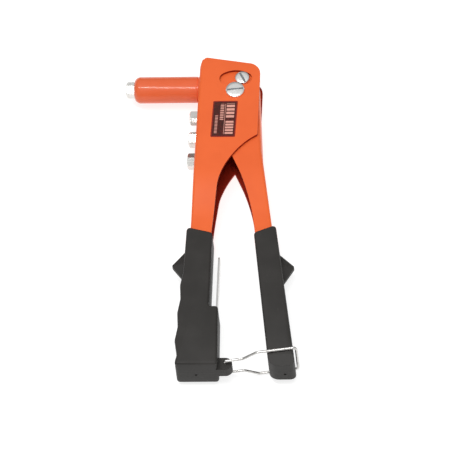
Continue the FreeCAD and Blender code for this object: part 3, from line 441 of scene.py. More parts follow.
@dataclass(frozen=True)
class Label:
    """Printed film: a dark field, a red border and rows of plain bars.

    Each row says where it lies across the label and along it, its pitch, and how much of the
    pitch is bar.
    """

    slot: str = "printed_label"
    centre: tuple[float, float, float] = (-7.0, -25.25, 13.8)
    half_width: float = 8.9
    half_height: float = 15.75
    lean: float = 0.0317
    field: Colour = (0.040, 0.012, 0.009)
    border: Colour = (0.24, 0.018, 0.011)
    print_colour: Colour = (0.86, 0.42, 0.34)
    border_width: float = 0.85
    rows: Sequence[tuple[Point, Point, float, float]] = (
        ((1.2, 7.0), (-13.4, -1.2), 2.45, 0.66), ((1.2, 7.0), (1.0, 13.6), 3.05, 0.66),
        ((-3.2, -0.6), (-1.0, 13.2), 1.55, 0.54), ((-6.6, -4.6), (-12.6, 3.0), 1.25, 0.46))
    line: tuple[Point, Point] = ((0.15, 0.45), (-13.2, 13.2))

    def material(self, name: str) -> bpy.types.Material:
        """Build the finish.

        Args:
            name: the material's name.

        Returns:
            The material.
        """
        desk = Desk(name)
        place = desk.place(self.centre)
        x, y, _ = desk.axes(place)
        across = x - y * self.lean
        inside = (self._inside(across, self.half_width - self.border_width)
                  * self._inside(y, self.half_height - self.border_width))
        blots = desk.noise(place, 0.5, 2.0)
        bars = across.within(*self.line[0], 0.08) * y.within(*self.line[1], 0.1)
        for row in self.rows:
            bars = bars + self._row(across, y, *row)
        colour = desk.blend(blots.step(0.3, 0.8) * 0.4, self.field, self.border)
        colour = desk.blend(bars * (0.72 + 0.25 * blots), colour, self.print_colour)
        colour = desk.blend(inside, self.border, colour)
        return desk.surface(Base_Color=colour, Roughness=0.42 + 0.12 * blots,
                            Specular_IOR_Level=0.25,
                            Normal=desk.bump(desk.noise(place, 1.5), 0.006))

    @staticmethod
    def _inside(distance: Signal, reach: float) -> Signal:
        """A mask of what is nearer to the label's middle than the border."""
        return distance.size().step(reach + 0.1, reach - 0.1)

    @staticmethod
    def _row(across: Signal, along: Signal, width: Point, reach: Point, pitch: float,
             share: float) -> Signal:
        """One row of bars.

        Args:
            across: distance across the label.
            along: distance along the label.
            width: where the row begins and ends across.
            reach: where the row begins and ends along.
            pitch: from one bar to the next.
            share: how much of the pitch is bar.

        Returns:
            A mask of the row.
        """
        beat = (along - reach[0]) % pitch
        bars = beat.within(0.12, pitch * share + 0.12, 0.10)
        return bars * across.within(*width, 0.12) * along.within(*reach, 0.1)


@dataclass(frozen=True)
class Floor:
    """A plain pale floor that glows a little, so that shadows stay faint."""

    colour: Colour = (0.44, 0.44, 0.44)
    shade: Colour = (0.40, 0.40, 0.40)
    glow: float = 0.76

    def material(self, name: str) -> bpy.types.Material:
        """Build the finish.

        Args:
            name: the material's name.

        Returns:
            The material.
        """
        desk = Desk(name)
        tone = desk.noise(desk.place(), 0.004, 2.0)
        light = desk.blend(tone * 0.10, self.colour, self.shade)
        return desk.surface(Base_Color=light, Roughness=0.9, Specular_IOR_Level=0.0,
                            Emission_Color=(1.0, 1.0, 1.0, 1.0), Emission_Strength=self.glow)


ENAMEL = Enamel()
# Dark enamel for the channels' inner sides and cut edges: painted shade, where the inside of a
# channel and its cut edges fall in shade.
PAINTED_SHADE_ENAMEL = Enamel(colour=(0.36, 0.022, 0.008), deep=(0.22, 0.014, 0.006), gloss=0.5,
                     shine=0.10)
SLEEVE_ENAMEL = Enamel(colour=(0.79, 0.140, 0.050), gloss=0.24, coat=0.28, coat_gloss=0.06,
                       shine=0.20)
PLASTIC = Plastic()
ZINC = Metal("zinc_plated_steel", (0.94, 0.94, 0.92), (0.76, 0.75, 0.73), 0.27)
NICKEL = Metal("nickel_plated_steel", (0.72, 0.71, 0.68), (0.50, 0.49, 0.46), 0.16)
BRIGHT_NICKEL = Metal("nickel_plated_steel", (0.80, 0.79, 0.77), (0.58, 0.57, 0.55), 0.24)
MACHINED = Metal("machined_steel", (0.60, 0.59, 0.58), (0.42, 0.41, 0.40), 0.28)
HARDENED = Metal("hardened_steel", (0.30, 0.29, 0.28), (0.20, 0.19, 0.20), 0.34)
WIRE = Metal("spring_wire", (0.66, 0.65, 0.63), (0.44, 0.42, 0.40), 0.26, 0.006)
Finish = Enamel | Metal | Plastic | Label


def turned_finish(finish: Metal, axis: Axis, centre: Sequence[float]) -> Metal:
    """The same metal with turning marks round a piece's own axis."""
    return replace(finish, centre=tuple(centre), axis=axis)


# ---------------------------------------------------------------- mesh work


def everything(mesh: Shape) -> list:
    """All vertices, edges and faces of a mesh."""
    return [*mesh.verts, *mesh.edges, *mesh.faces]


def mesh_data(mesh: Shape, name: str = "work") -> bpy.types.Mesh:
    """Store a mesh as data that an object can hold.

    Args:
        mesh: the mesh; it is used up.
        name: the data's name.

    Returns:
        The data.
    """
    data = bpy.data.meshes.new(name)
    mesh.to_mesh(data)
    mesh.free()
    return data


def reopened(data: bpy.types.Mesh) -> Shape:
    """Open stored data to work on it again.

    Args:
        data: the data; it is used up.

    Returns:
        The mesh.
    """
    mesh = bmesh.new()
    mesh.from_mesh(data)
    bpy.data.meshes.remove(data)
    return mesh


def in_scene(name: str, data: bpy.types.ID) -> bpy.types.Object:
    """Put data into the scene.

    Args:
        name: the object's name.
        data: its mesh, camera or lamp.

    Returns:
        The object.
    """
    made = bpy.data.objects.new(name, data)
    bpy.context.scene.collection.objects.link(made)
    return made


def lifted(mesh: Shape, grown: Iterable[object], way: Corner) -> list[bmesh.types.BMVert]:
    """Move what an extrusion has made.

    Args:
        mesh: the mesh that was extruded.
        grown: what the extrusion made.
        way: how far it moves.

    Returns:
        The vertices that moved.
    """
    verts = [item for item in grown if isinstance(item, bmesh.types.BMVert)]
    bmesh.ops.translate(mesh, vec=way, verts=verts)
    return verts


def split(mesh: Shape, spot: Corner, normal: Corner, clear: bool = False) -> None:
    """Cut every face that crosses a plane, and clear what lies beyond it if asked to."""
    bmesh.ops.bisect_plane(mesh, geom=everything(mesh), plane_co=spot, plane_no=normal,
                           clear_outer=clear)


def rounded_outline(corners: Sequence[Corner], height: float = 0.0,
                    arc_step: float = 0.9) -> Shape:
    """A flat face whose corners are rounded.

    Args:
        corners: x, y and, for a rounded corner, its radius.
        height: the face's z.
        arc_step: about how long one step of an arc is.

    Returns:
        A mesh with one face.
    """
    mesh = bmesh.new()
    verts = [mesh.verts.new((corner[0], corner[1], height)) for corner in corners]
    mesh.faces.new(verts)
    count = len(corners)
    for index, (vert, corner) in enumerate(zip(verts, corners)):
        if len(corner) < 3:
            continue
        before = Vector(corners[index - 1][:2])
        after = Vector(corners[(index + 1) % count][:2])
        here = Vector(corner[:2])
        bend = abs((here - before).angle_signed(after - here))
        steps = min(24, max(3, round(corner[2] * bend / arc_step)))
        bmesh.ops.bevel(mesh, geom=[vert], offset=corner[2] * math.tan(bend / 2.0),
                        offset_type="OFFSET", segments=steps, profile=0.5, affect="VERTICES",
                        clamp_overlap=False, material=-1)
    return mesh


def tidy(mesh: Shape) -> Shape:
    """Merge doubles and turn the faces outwards.

    Args:
        mesh: what to tidy.

    Returns:
        The same mesh.
    """
    bmesh.ops.remove_doubles(mesh, verts=mesh.verts, dist=TINY)
    bmesh.ops.recalc_face_normals(mesh, faces=mesh.faces)
    return mesh


def moved(mesh: Shape, x: float = 0.0, y: float = 0.0, z: float = 0.0,
          turn: float = 0.0, axis: str = "Z") -> Shape:
    """Turn a mesh about an axis through the origin, then move it.

    Args:
        mesh: what to move.
        x: distance along X.
        y: distance along Y.
        z: distance along Z.
        turn: angle in radians, before the move.
        axis: the axis that it turns about.

    Returns:
        The same mesh.
    """
    matrix = Matrix.Translation((x, y, z)) @ Matrix.Rotation(turn, 4, axis)
    bmesh.ops.transform(mesh, matrix=matrix, verts=mesh.verts)
    return mesh


def slab(corners: Sequence[Corner], low: float, high: float) -> Shape:
    """A solid plate with a rounded outline.

    Args:
        corners: x, y and, for a rounded corner, its radius.
        low: the height of its underside.
        high: the height of its top.

    Returns:
        The closed plate.
    """
    mesh = rounded_outline(corners, low)
    grown = bmesh.ops.extrude_face_region(mesh, geom=mesh.faces[:])["geom"]
    lifted(mesh, grown, (0.0, 0.0, high - low))
    return tidy(mesh)


def turned(profile: Sequence[Corner], axis: Axis, steps: int = 64) -> Shape:
    """A solid turned from a closed profile.

    Args:
        profile: distance along the axis, radius and, for a rounded corner, its rounding.
        axis: which way the piece points.
        steps: how many sides the turned surface has.

    Returns:
        The closed solid.
    """
    mesh = rounded_outline(profile, 0.0, 0.35)
    bmesh.ops.delete(mesh, geom=mesh.faces[:], context="FACES_ONLY")
    spine = [edge for edge in mesh.edges if all(abs(vert.co.y) < TINY for vert in edge.verts)]
    bmesh.ops.delete(mesh, geom=spine, context="EDGES")
    bmesh.ops.spin(mesh, geom=everything(mesh), cent=(0.0, 0.0, 0.0), axis=(1.0, 0.0, 0.0),
                   angle=WHOLE_TURN, steps=steps, use_merge=True)
    tidy(mesh)
    if axis is Axis.UP:
        moved(mesh, turn=-math.pi / 2.0, axis="Y")
    return mesh


def hexagon(flats: float, low: float, high: float, axis: Axis, turn: float) -> Shape:
    """A hexagonal bar.

    Args:
        flats: its width across flats.
        low: where it begins along its axis.
        high: where it ends.
        axis: which way it points.
        turn: how far it is turned about its axis, in degrees.

    Returns:
        The closed bar.
    """
    mesh = bmesh.new()
    radius = flats / 2.0 / math.cos(math.pi / 6.0)
    bmesh.ops.create_cone(mesh, cap_ends=True, segments=6, radius1=radius, radius2=radius,
                          depth=high - low)
    moved(mesh, z=(low + high) / 2.0, turn=math.radians(turn))
    if axis is Axis.NOSE:
        moved(mesh, turn=math.pi / 2.0, axis="Y")
    return mesh


def block(low: Sequence[float], high: Sequence[float]) -> Shape:
    """A box to cut with.

    Args:
        low: its lowest corner.
        high: its highest corner.

    Returns:
        The closed box.
    """
    mesh = bmesh.new()
    bmesh.ops.create_cube(mesh, size=1.0)
    span = Vector(high) - Vector(low)
    bmesh.ops.scale(mesh, vec=span, verts=mesh.verts)
    middle = (Vector(high) + Vector(low)) / 2.0
    return moved(mesh, *middle)


def combined(base: Shape, tool: Shape, join: Join) -> Shape:
    """Put two closed solids together.

    Args:
        base: the solid that is worked on.
        tool: the other solid; both are used up.
        join: how they go together.

    Returns:
        A new solid.
    """
    holders = [in_scene("work", mesh_data(mesh)) for mesh in (base, tool)]
    modifier = holders[0].modifiers.new("join", "BOOLEAN")
    modifier.operation = join.value
    modifier.solver = "EXACT"
    modifier.object = holders[1]
    graph = bpy.context.evaluated_depsgraph_get()
    result = reopened(bpy.data.meshes.new_from_object(holders[0].evaluated_get(graph)))
    for holder in holders:
        spent = holder.data
        bpy.data.objects.remove(holder)
        bpy.data.meshes.remove(spent)
    bmesh.ops.remove_doubles(result, verts=result.verts, dist=TINY)
    return result


def joined(*meshes: Shape) -> Shape:
    """Gather several meshes in one.

    Args:
        meshes: the meshes; each is used up.

    Returns:
        The gathered mesh.
    """
    whole = bmesh.new()
    for mesh in meshes:
        data = mesh_data(mesh)
        whole.from_mesh(data)
        bpy.data.meshes.remove(data)
    return whole


def add_circle(centre: Point, radius: float, steps: int = 48) -> Loop:
    """A round hole for a plate, as a loop of edges.

    Args:
        centre: the hole's middle.
        radius: its radius.
        steps: how many sides it has.

    Returns:
        A function that draws the loop.
    """
    def draw(mesh: Shape, height: float) -> None:
        """Draw the loop at a height."""
        matrix = Matrix.Translation((*centre, height))
        bmesh.ops.create_circle(mesh, segments=steps, radius=radius, matrix=matrix)
    return draw


def add_arc_slot(radius: float, half_width: float, half_angle: float) -> Loop:
    """A slot that follows an arc above the pivot, as a loop of edges.

    Args:
        radius: the radius that the slot follows.
        half_width: half of the slot's width.
        half_angle: how far its end centres stand off the vertical, in degrees.

    Returns:
        A function that draws the loop.
    """
    reach = math.radians(half_angle)

    def draw(mesh: Shape, height: float) -> None:
        """Draw the loop.

        Args:
            mesh: the plate that it is drawn in.
            height: the plate's height.
        """
        def cap(sign: float) -> Vector:
            """Centre of one of the slot's round ends."""
            return Vector((radius * math.sin(reach) * sign, radius * math.cos(reach), height))
        outer = cap(1.0) * ((radius + half_width) / radius)
        last = mesh.verts.new((outer.x, outer.y, height))
        middle = Vector((0.0, 0.0, height))
        turns = ((middle, 2.0 * reach, 20), (cap(-1.0), math.pi, 16),
                 (middle, -2.0 * reach, 12), (cap(1.0), math.pi, 16))
        for centre, angle, steps in turns:
            swept = bmesh.ops.spin(mesh, geom=[last], cent=centre, axis=(0.0, 0.0, 1.0),
                                   angle=angle, steps=steps, use_merge=False)
            last = next(item for item in swept["geom_last"]
                        if isinstance(item, bmesh.types.BMVert))
    return draw


def nearest_gap(point: Vector, run: Sequence[Point]) -> float:
    """How far a point lies from a line of straight runs, seen from above.

    Args:
        point: the point.
        run: the line's corners.

    Returns:
        The distance to the nearest run.
    """
    gaps = []
    flat = Vector((point.x, point.y))
    for start, end in zip(run, run[1:]):
        first, span = Vector(start), Vector(end) - Vector(start)
        share = max(0.0, min(1.0, (flat - first).dot(span) / span.length_squared))
        gaps.append((flat - first - span * share).length)
    return min(gaps)


def eased(share: float) -> float:
    """A smooth step from 0 to 1."""
    share = max(0.0, min(1.0, share))
    return share * share * (3.0 - 2.0 * share)


def issue(mesh: Shape, name: str, body: Body, nodes: Iterable[str],
          finish: Finish, edge: float = 0.0, wall: float = 0.0, sharp: float = 32.0,
          inner_shade: Enamel | None = None,
          far: tuple[Body, Point] | None = None) -> bpy.types.Object:
    """Turn a mesh into a finished piece on its body.

    Args:
        mesh: the piece in millimetres from the pivot; it is used up.
        name: the piece's name.
        body: the body that it rides on.
        nodes: the frame nodes that it stands for.
        finish: its surface.
        edge: how far its sharp edges are rounded.
        wall: the sheet's thickness, where the mesh is a sheet.
        sharp: the angle past which an edge counts as sharp, in degrees.
        inner_shade: a darker finish for a sheet's inner side and cut edges, if it has one; it is
            painted shade inside the channel and along the cut edges.
        far: for a piece that stretches along X between two bodies, the other body, and
        where each body's end is. Only whether it is given is used: such a piece is
        baked where it stands and put on no body.

    Returns:
        The piece.
    """
    matrix = Matrix.Translation(PIVOT) @ Matrix.Scale(MM, 4)
    bmesh.ops.transform(mesh, matrix=matrix, verts=mesh.verts)
    data = mesh_data(mesh, name)
    data.shade_smooth()
    data.set_sharp_from_angle(angle=math.radians(sharp))
    data.materials.append(finish.material(f"{name}_finish"))
    piece = in_scene(name, data)
    if wall:
        shell = piece.modifiers.new("wall", "SOLIDIFY")
        shell.thickness = wall * MM
        shell.offset = -1.0
        shell.use_even_offset = True
        # The inner side and the cut edges get the second, dark finish: painted shade inside the
        # channel and along the cut edges.
        if inner_shade:
            data.materials.append(inner_shade.material(f"{name}_lining"))
            shell.material_offset = shell.material_offset_rim = 1
    if edge:
        soft = piece.modifiers.new("edge", "BEVEL")
        soft.width = edge * MM
        soft.segments = EDGE_STEPS
        soft.limit_method = "ANGLE"
        soft.angle_limit = math.radians(sharp)
        soft.harden_normals = True
    if far:
        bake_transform(piece)
    else:
        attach(piece, body.value)
    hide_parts(*nodes)
    LOG.info("made %s, on %s, for %s", name, body.value, ", ".join(nodes))
    return piece


# ---------------------------------------------------------------- folded steel


@dataclass
class FoldedChannel:
    """A channel folded from one sheet: two plates and the side between them."""

    name: str
    node: str
    body: Body
    corners: Sequence[Corner]
    fold_run: Sequence[Point]
    outward: float
    holes: Sequence[Loop]
    half_depth: float
    arm_half_depth: float
    taper_start: float
    taper_end: float = 112.0
    plate: float = 1.8
    fold_radius: float = 2.6
    fold_steps: int = 7
    fold_reach: float = 0.45
    taper_rows: int = 16
    edge: float = 0.4

    def plate_face(self) -> Shape:
        """Fill the front plate between its outline and its holes.

        Returns:
            The plate's face.
        """
        mesh = rounded_outline(self.corners, self.half_depth)
        bmesh.ops.delete(mesh, geom=mesh.faces[:], context="FACES_ONLY")
        for hole in self.holes:
            hole(mesh, self.half_depth)
        bmesh.ops.remove_doubles(mesh, verts=mesh.verts, dist=TINY)
        bmesh.ops.triangle_fill(mesh, use_beauty=True, use_dissolve=False, edges=mesh.edges,
                                normal=(0.0, 0.0, 1.0))
        return mesh

    def fold(self, mesh: Shape) -> None:
        """Fold the side down from the plate, as far as the mid-plane.

        Args:
            mesh: the plate's face.
        """
        run = [edge for edge in mesh.edges if edge.is_boundary and all(
            nearest_gap(point, self.fold_run) < self.fold_reach for point in
            (edge.verts[0].co, edge.verts[1].co, (edge.verts[0].co + edge.verts[1].co) / 2.0))]
        angles = [math.pi / 2.0 * step / self.fold_steps for step in range(self.fold_steps + 1)]
        moves = [(math.sin(end) - math.sin(start), math.cos(start) - math.cos(end))
                 for start, end in zip(angles, angles[1:])]
        moves = [(out * self.fold_radius, down * self.fold_radius) for out, down in moves]
        moves.append((0.0, self.half_depth - self.fold_radius))
        for out, down in moves:
            grown = bmesh.ops.extrude_edge_only(mesh, edges=run)["geom"]
            fresh = set(lifted(mesh, grown, (out * self.outward, 0.0, -down)))
            run = [edge for edge in mesh.edges if fresh.issuperset(edge.verts)]

    def depth_share(self, y: float) -> float:
        """How deep the channel is at a height, as a share of its head's depth."""
        slim = eased((-y - self.taper_start) / (self.taper_end - self.taper_start))
        return 1.0 + (self.arm_half_depth / self.half_depth - 1.0) * slim

    def sheet(self) -> Shape:
        """Fold the whole channel, as a sheet without thickness.

        Returns:
            The sheet.
        """
        mesh = self.plate_face()
        self.fold(mesh)
        bmesh.ops.mirror(mesh, geom=everything(mesh), merge_dist=TINY, axis="Z")
        tidy(mesh)
        span = self.taper_end - self.taper_start
        for row in range(self.taper_rows + 1):
            level = -(self.taper_start + span * row / self.taper_rows)
            split(mesh, (0.0, level, 0.0), (0.0, 1.0, 0.0))
        for vert in mesh.verts:
            vert.co.z *= self.depth_share(vert.co.y)
        return mesh

    def build(self) -> bpy.types.Object:
        """Make the channel."""
        # The channel's inner side and cut edges take painted shade.
        return issue(self.sheet(), self.name, self.body, [self.node], ENAMEL,
                     edge=self.edge, wall=self.plate, inner_shade=PAINTED_SHADE_ENAMEL)


@dataclass
class Frame(FoldedChannel):
    """The frame, with a slanted upper corner and tapped collars behind its nose side."""

    slant_high: Point = (-24.0, 29.6)
    collar_radius: float = 5.2
    collar_bore: float = 3.5
    collar_length: float = 2.2
    collar_sink: float = 0.4

    def sheet(self) -> Shape:
        """Fold the channel and cut its upper corner on a slant.

        Returns:
            The sheet.
        """
        mesh = super().sheet()
        along = (Vector(self.slant_high) - Vector(SIDE_CORNER)).normalized()
        split(mesh, (*SIDE_CORNER, 0.0), (-along.y, along.x, 0.0), clear=True)
        return mesh

    def build(self) -> bpy.types.Object:
        """Make the frame, and its collars as a piece of their own.

        Returns:
            The frame's channel.
        """
        piece = super().build()
        collars = [self._collar(height) for height in SPARE_HEIGHTS.values()]
        issue(joined(*collars), "frame_collars", self.body, [self.node], ENAMEL, edge=0.3)
        return piece

    def _collar(self, height: float) -> Shape:
        """Turn one tapped collar, which stands on the inner side of the folded wall.

        Args:
            height: its axis's height.

        Returns:
            The collar.
        """
        inner = side_x(height) + self.plate
        near, far = inner - self.collar_sink, inner + self.collar_length
        ring = turned([(near, self.collar_bore), (near, self.collar_radius),
                       (far, self.collar_radius, 0.5), (far, self.collar_bore)], Axis.NOSE, 48)
        return moved(ring, y=height)


def build_frame() -> None:
    """The frame's folded channel."""
    Frame(
        name="frame_channel", node="frame", body=Body.FRAME, outward=-1.0,
        corners=((-23.8, 29.6, 2.5), (17.6, 22.5, 9.0), (17.6, -38.8, 1.5), (-8.3, -55.0, 56.0),
                 (-12.9, -118.0), (-16.0, -205.0), (-24.9, -205.0), (-25.6, -118.0),
                 (-23.9, 21.5)),
        fold_run=((-24.9, -205.0), (-25.6, -118.0), (-23.9, 21.5), (-23.8, 29.6)),
        holes=(add_arc_slot(SLOT_RADIUS, 5.3, 32.0), add_circle((0.0, 0.0), 4.05)),
        half_depth=13.7, arm_half_depth=7.5, taper_start=68.0,
    ).build()


def build_handle() -> None:
    """The moving handle's folded channel, nested in the frame."""
    FoldedChannel(
        name="handle_channel", node="moving_handle", body=Body.HANDLE, outward=1.0,
        corners=((-18.4, 18.8, 18.2), (12.1, 18.8, 6.0), (14.0, 10.3), (14.2, 5.0, 4.0),
                 (18.2, -51.2), (28.6, -120.0), (41.6, -208.0), (33.4, -208.0),
                 (18.4, -120.0), (13.3, -86.3, 150.0), (-9.0, -36.0, 8.0), (-18.4, -2.5, 8.0)),
        fold_run=((14.0, 10.3), (14.2, 5.0), (18.2, -51.2), (28.6, -120.0), (41.6, -208.0)),
        holes=(add_circle((0.0, 0.0), 5.05), add_circle(PULL_AT, 3.05)),
        half_depth=11.4, arm_half_depth=7.2, taper_start=62.0,
    ).build()


# ---------------------------------------------------------------- screws and nuts


@dataclass
class SlottedScrew:
    """A screw with a low domed head and a driver slot, and the nut behind."""

    name: str
    body: Body
    centre: Point
    shank: float
    head_radius: float
    seat: float
    head_height: float
    end: float
    slot_turn: float
    nut_flats: float
    nut_height: float
    slot_width: float = 1.5
    slot_depth: float = 1.1
    chamfer: float = 0.6
    end_chamfer: float = 0.3
    crown: float = 0.12
    crown_share: float = 0.72
    nut_rear_share: float = 0.97
    nut_seat_share: float = 1.10

    def screw(self) -> Shape:
        """Turn the screw and cut its slot.

        Returns:
            The screw.
        """
        top = self.seat + self.head_height
        mesh = turned([
            (self.end, 0.0), (self.end, self.shank - self.end_chamfer),
            (self.end + self.end_chamfer, self.shank), (self.seat, self.shank),
            (self.seat, self.head_radius, 0.25), (top - self.chamfer, self.head_radius, 0.45),
            (top - self.crown, self.head_radius * self.crown_share, 3.0), (top, 0.0),
        ], Axis.UP, 72)
        reach = self.head_radius + 2.0
        half = self.slot_width / 2.0
        slot = block((-reach, -half, top - self.slot_depth), (reach, half, top + 2.0))
        moved(slot, turn=math.radians(self.slot_turn))
        return moved(combined(mesh, slot, Join.CUT), *self.centre)

    def nut(self) -> Shape:
        """Make the nut, with the corners of both faces turned off.

        Returns:
            The nut.
        """
        radius = self.nut_flats / 2.0
        low, high = self.end, self.end + self.nut_height
        # Between its two faces the blank is as wide as the hexagon's corners or wider.
        blank = turned([(low, self.shank), (low, radius * self.nut_rear_share),
                        (low + 0.45, radius * 1.15), (high - 0.2, radius * 1.16),
                        (high, radius * self.nut_seat_share), (high, self.shank)], Axis.UP, 72)
        bar = hexagon(self.nut_flats, low - 1.0, high + 1.0, Axis.UP, 30.0)
        return moved(combined(blank, bar, Join.SHARE), *self.centre)

    def build(self) -> None:
        """Make the screw and its nut."""
        metal = turned_finish(ZINC, Axis.UP, (*self.centre, 0.0))
        top = self.seat + self.head_height
        # The inside of the slot is darkened with painted shade.
        slotted = replace(metal, painted_shade_zone=(top - 0.5, self.head_radius - 0.45))
        issue(self.screw(), f"{self.name}_screw_head", self.body, [f"{self.name}_screw"], slotted,
              edge=0.14)
        issue(self.nut(), f"{self.name}_hex_nut", self.body, [f"{self.name}_nut"], metal,
              edge=0.15)


def build_fasteners() -> None:
    """The pivot's and the pull pin's screws."""
    SlottedScrew(
        name="pivot", body=Body.FRAME, centre=(0.0, 0.0), shank=4.0, head_radius=6.7, seat=13.7,
        head_height=2.0, end=-16.0, slot_turn=6.0, nut_flats=12.0, nut_height=2.3,
    ).build()
    SlottedScrew(
        name="pull", body=Body.HANDLE, centre=PULL_AT, shank=3.0, head_radius=5.15, seat=11.4,
        head_height=3.0, end=-13.8, slot_turn=-62.0, nut_flats=8.16, nut_height=2.4,
    ).build()


# ---------------------------------------------------------------- nose


@dataclass
class Nose:
    """The painted sleeve, with a shallow groove at its foot."""

    front: float = -74.5
    back: float = -26.62
    radius: float = 9.6
    bore: float = 7.3
    wall: float = 6.5
    thread: float = 3.5
    stub: float = 7.9
    stub_bore: float = 6.0
    stub_end: float = -19.5
    front_round: float = 4.5
    groove: float = 0.35
    shoulder: float = 1.6

    def sleeve(self) -> Shape:
        """Turn the sleeve.

        Returns:
            The sleeve.
        """
        inside, neck = self.back + self.shoulder, self.radius - self.groove
        return moved(turned([
            (self.front, self.thread), (self.front, self.radius, self.front_round),
            (self.back - 1.9, self.radius, 0.3), (self.back - 1.5, neck, 0.3),
            (self.back - 0.9, neck, 0.3), (self.back - 0.6, self.radius, 0.3),
            (self.back, self.radius, 0.25), (self.back, self.stub), (self.stub_end, self.stub, 0.4),
            (self.stub_end, self.stub_bore), (inside, self.stub_bore), (inside, self.bore),
            (self.front + self.wall, self.bore), (self.front + self.wall, self.thread),
        ], Axis.NOSE, 96), y=NOSE_Y)

    def build(self) -> None:
        """Make the sleeve."""
        issue(self.sleeve(), "sleeve_tube", Body.FRAME, ["nose_sleeve"], SLEEVE_ENAMEL)


@dataclass
class Nosepiece:
    """A hexagonal nosepiece with a domed front and a mandrel bore."""

    name: str
    node: str
    bore: float
    tail: float
    seat_x: float
    seat_y: float
    turn: float
    flats: float = 10.4
    head: float = 6.2
    thread: float = 3.45
    mouth: float = 0.35
    front_share: float = 0.78
    front_slant: float = 1.25
    seat_share: float = 1.10

    def build(self) -> None:
        """Make the nosepiece."""
        half, front = self.flats / 2.0, -self.head
        # Between its front and its seat the blank is wider than the hexagon's corners.
        blank = turned([
            (front + self.mouth, self.bore), (front, self.bore + self.mouth),
            (front, half * self.front_share, 0.5), (front + self.front_slant, half * 1.16),
            (-0.35, half * 1.17), (0.0, half * self.seat_share), (0.0, self.thread),
            (self.tail, self.thread), (self.tail, self.bore),
        ], Axis.NOSE, 72)
        bar = hexagon(self.flats, front - 1.0, self.tail + 1.0, Axis.NOSE, self.turn)
        mesh = combined(blank, bar, Join.SHARE)
        moved(mesh, self.seat_x, self.seat_y)
        metal = turned_finish(NICKEL, Axis.NOSE, (self.seat_x, self.seat_y, 0.0))
        issue(mesh, self.name, Body.FRAME, [self.node], metal, edge=0.22)


def build_nose() -> None:
    """The sleeve, its nosepiece and the three spares on the frame."""
    nose = Nose()
    nose.build()
    Nosepiece("nosepiece_fitted", "fitted_nosepiece", bore=1.15, tail=8.0, seat_x=nose.front,
              seat_y=NOSE_Y, turn=30.0).build()
    seat_gap = 0.15
    for size, bore, turn in (("small", 0.85, 5.0), ("medium", 1.35, 20.0), ("large", 1.65, 35.0)):
        height = SPARE_HEIGHTS[size]
        Nosepiece(f"nosepiece_{size}", f"spare_nosepiece_{size}", bore=bore, tail=5.0,
                  seat_x=side_x(height) - seat_gap, seat_y=height, turn=turn).build()


# ---------------------------------------------------------------- grips


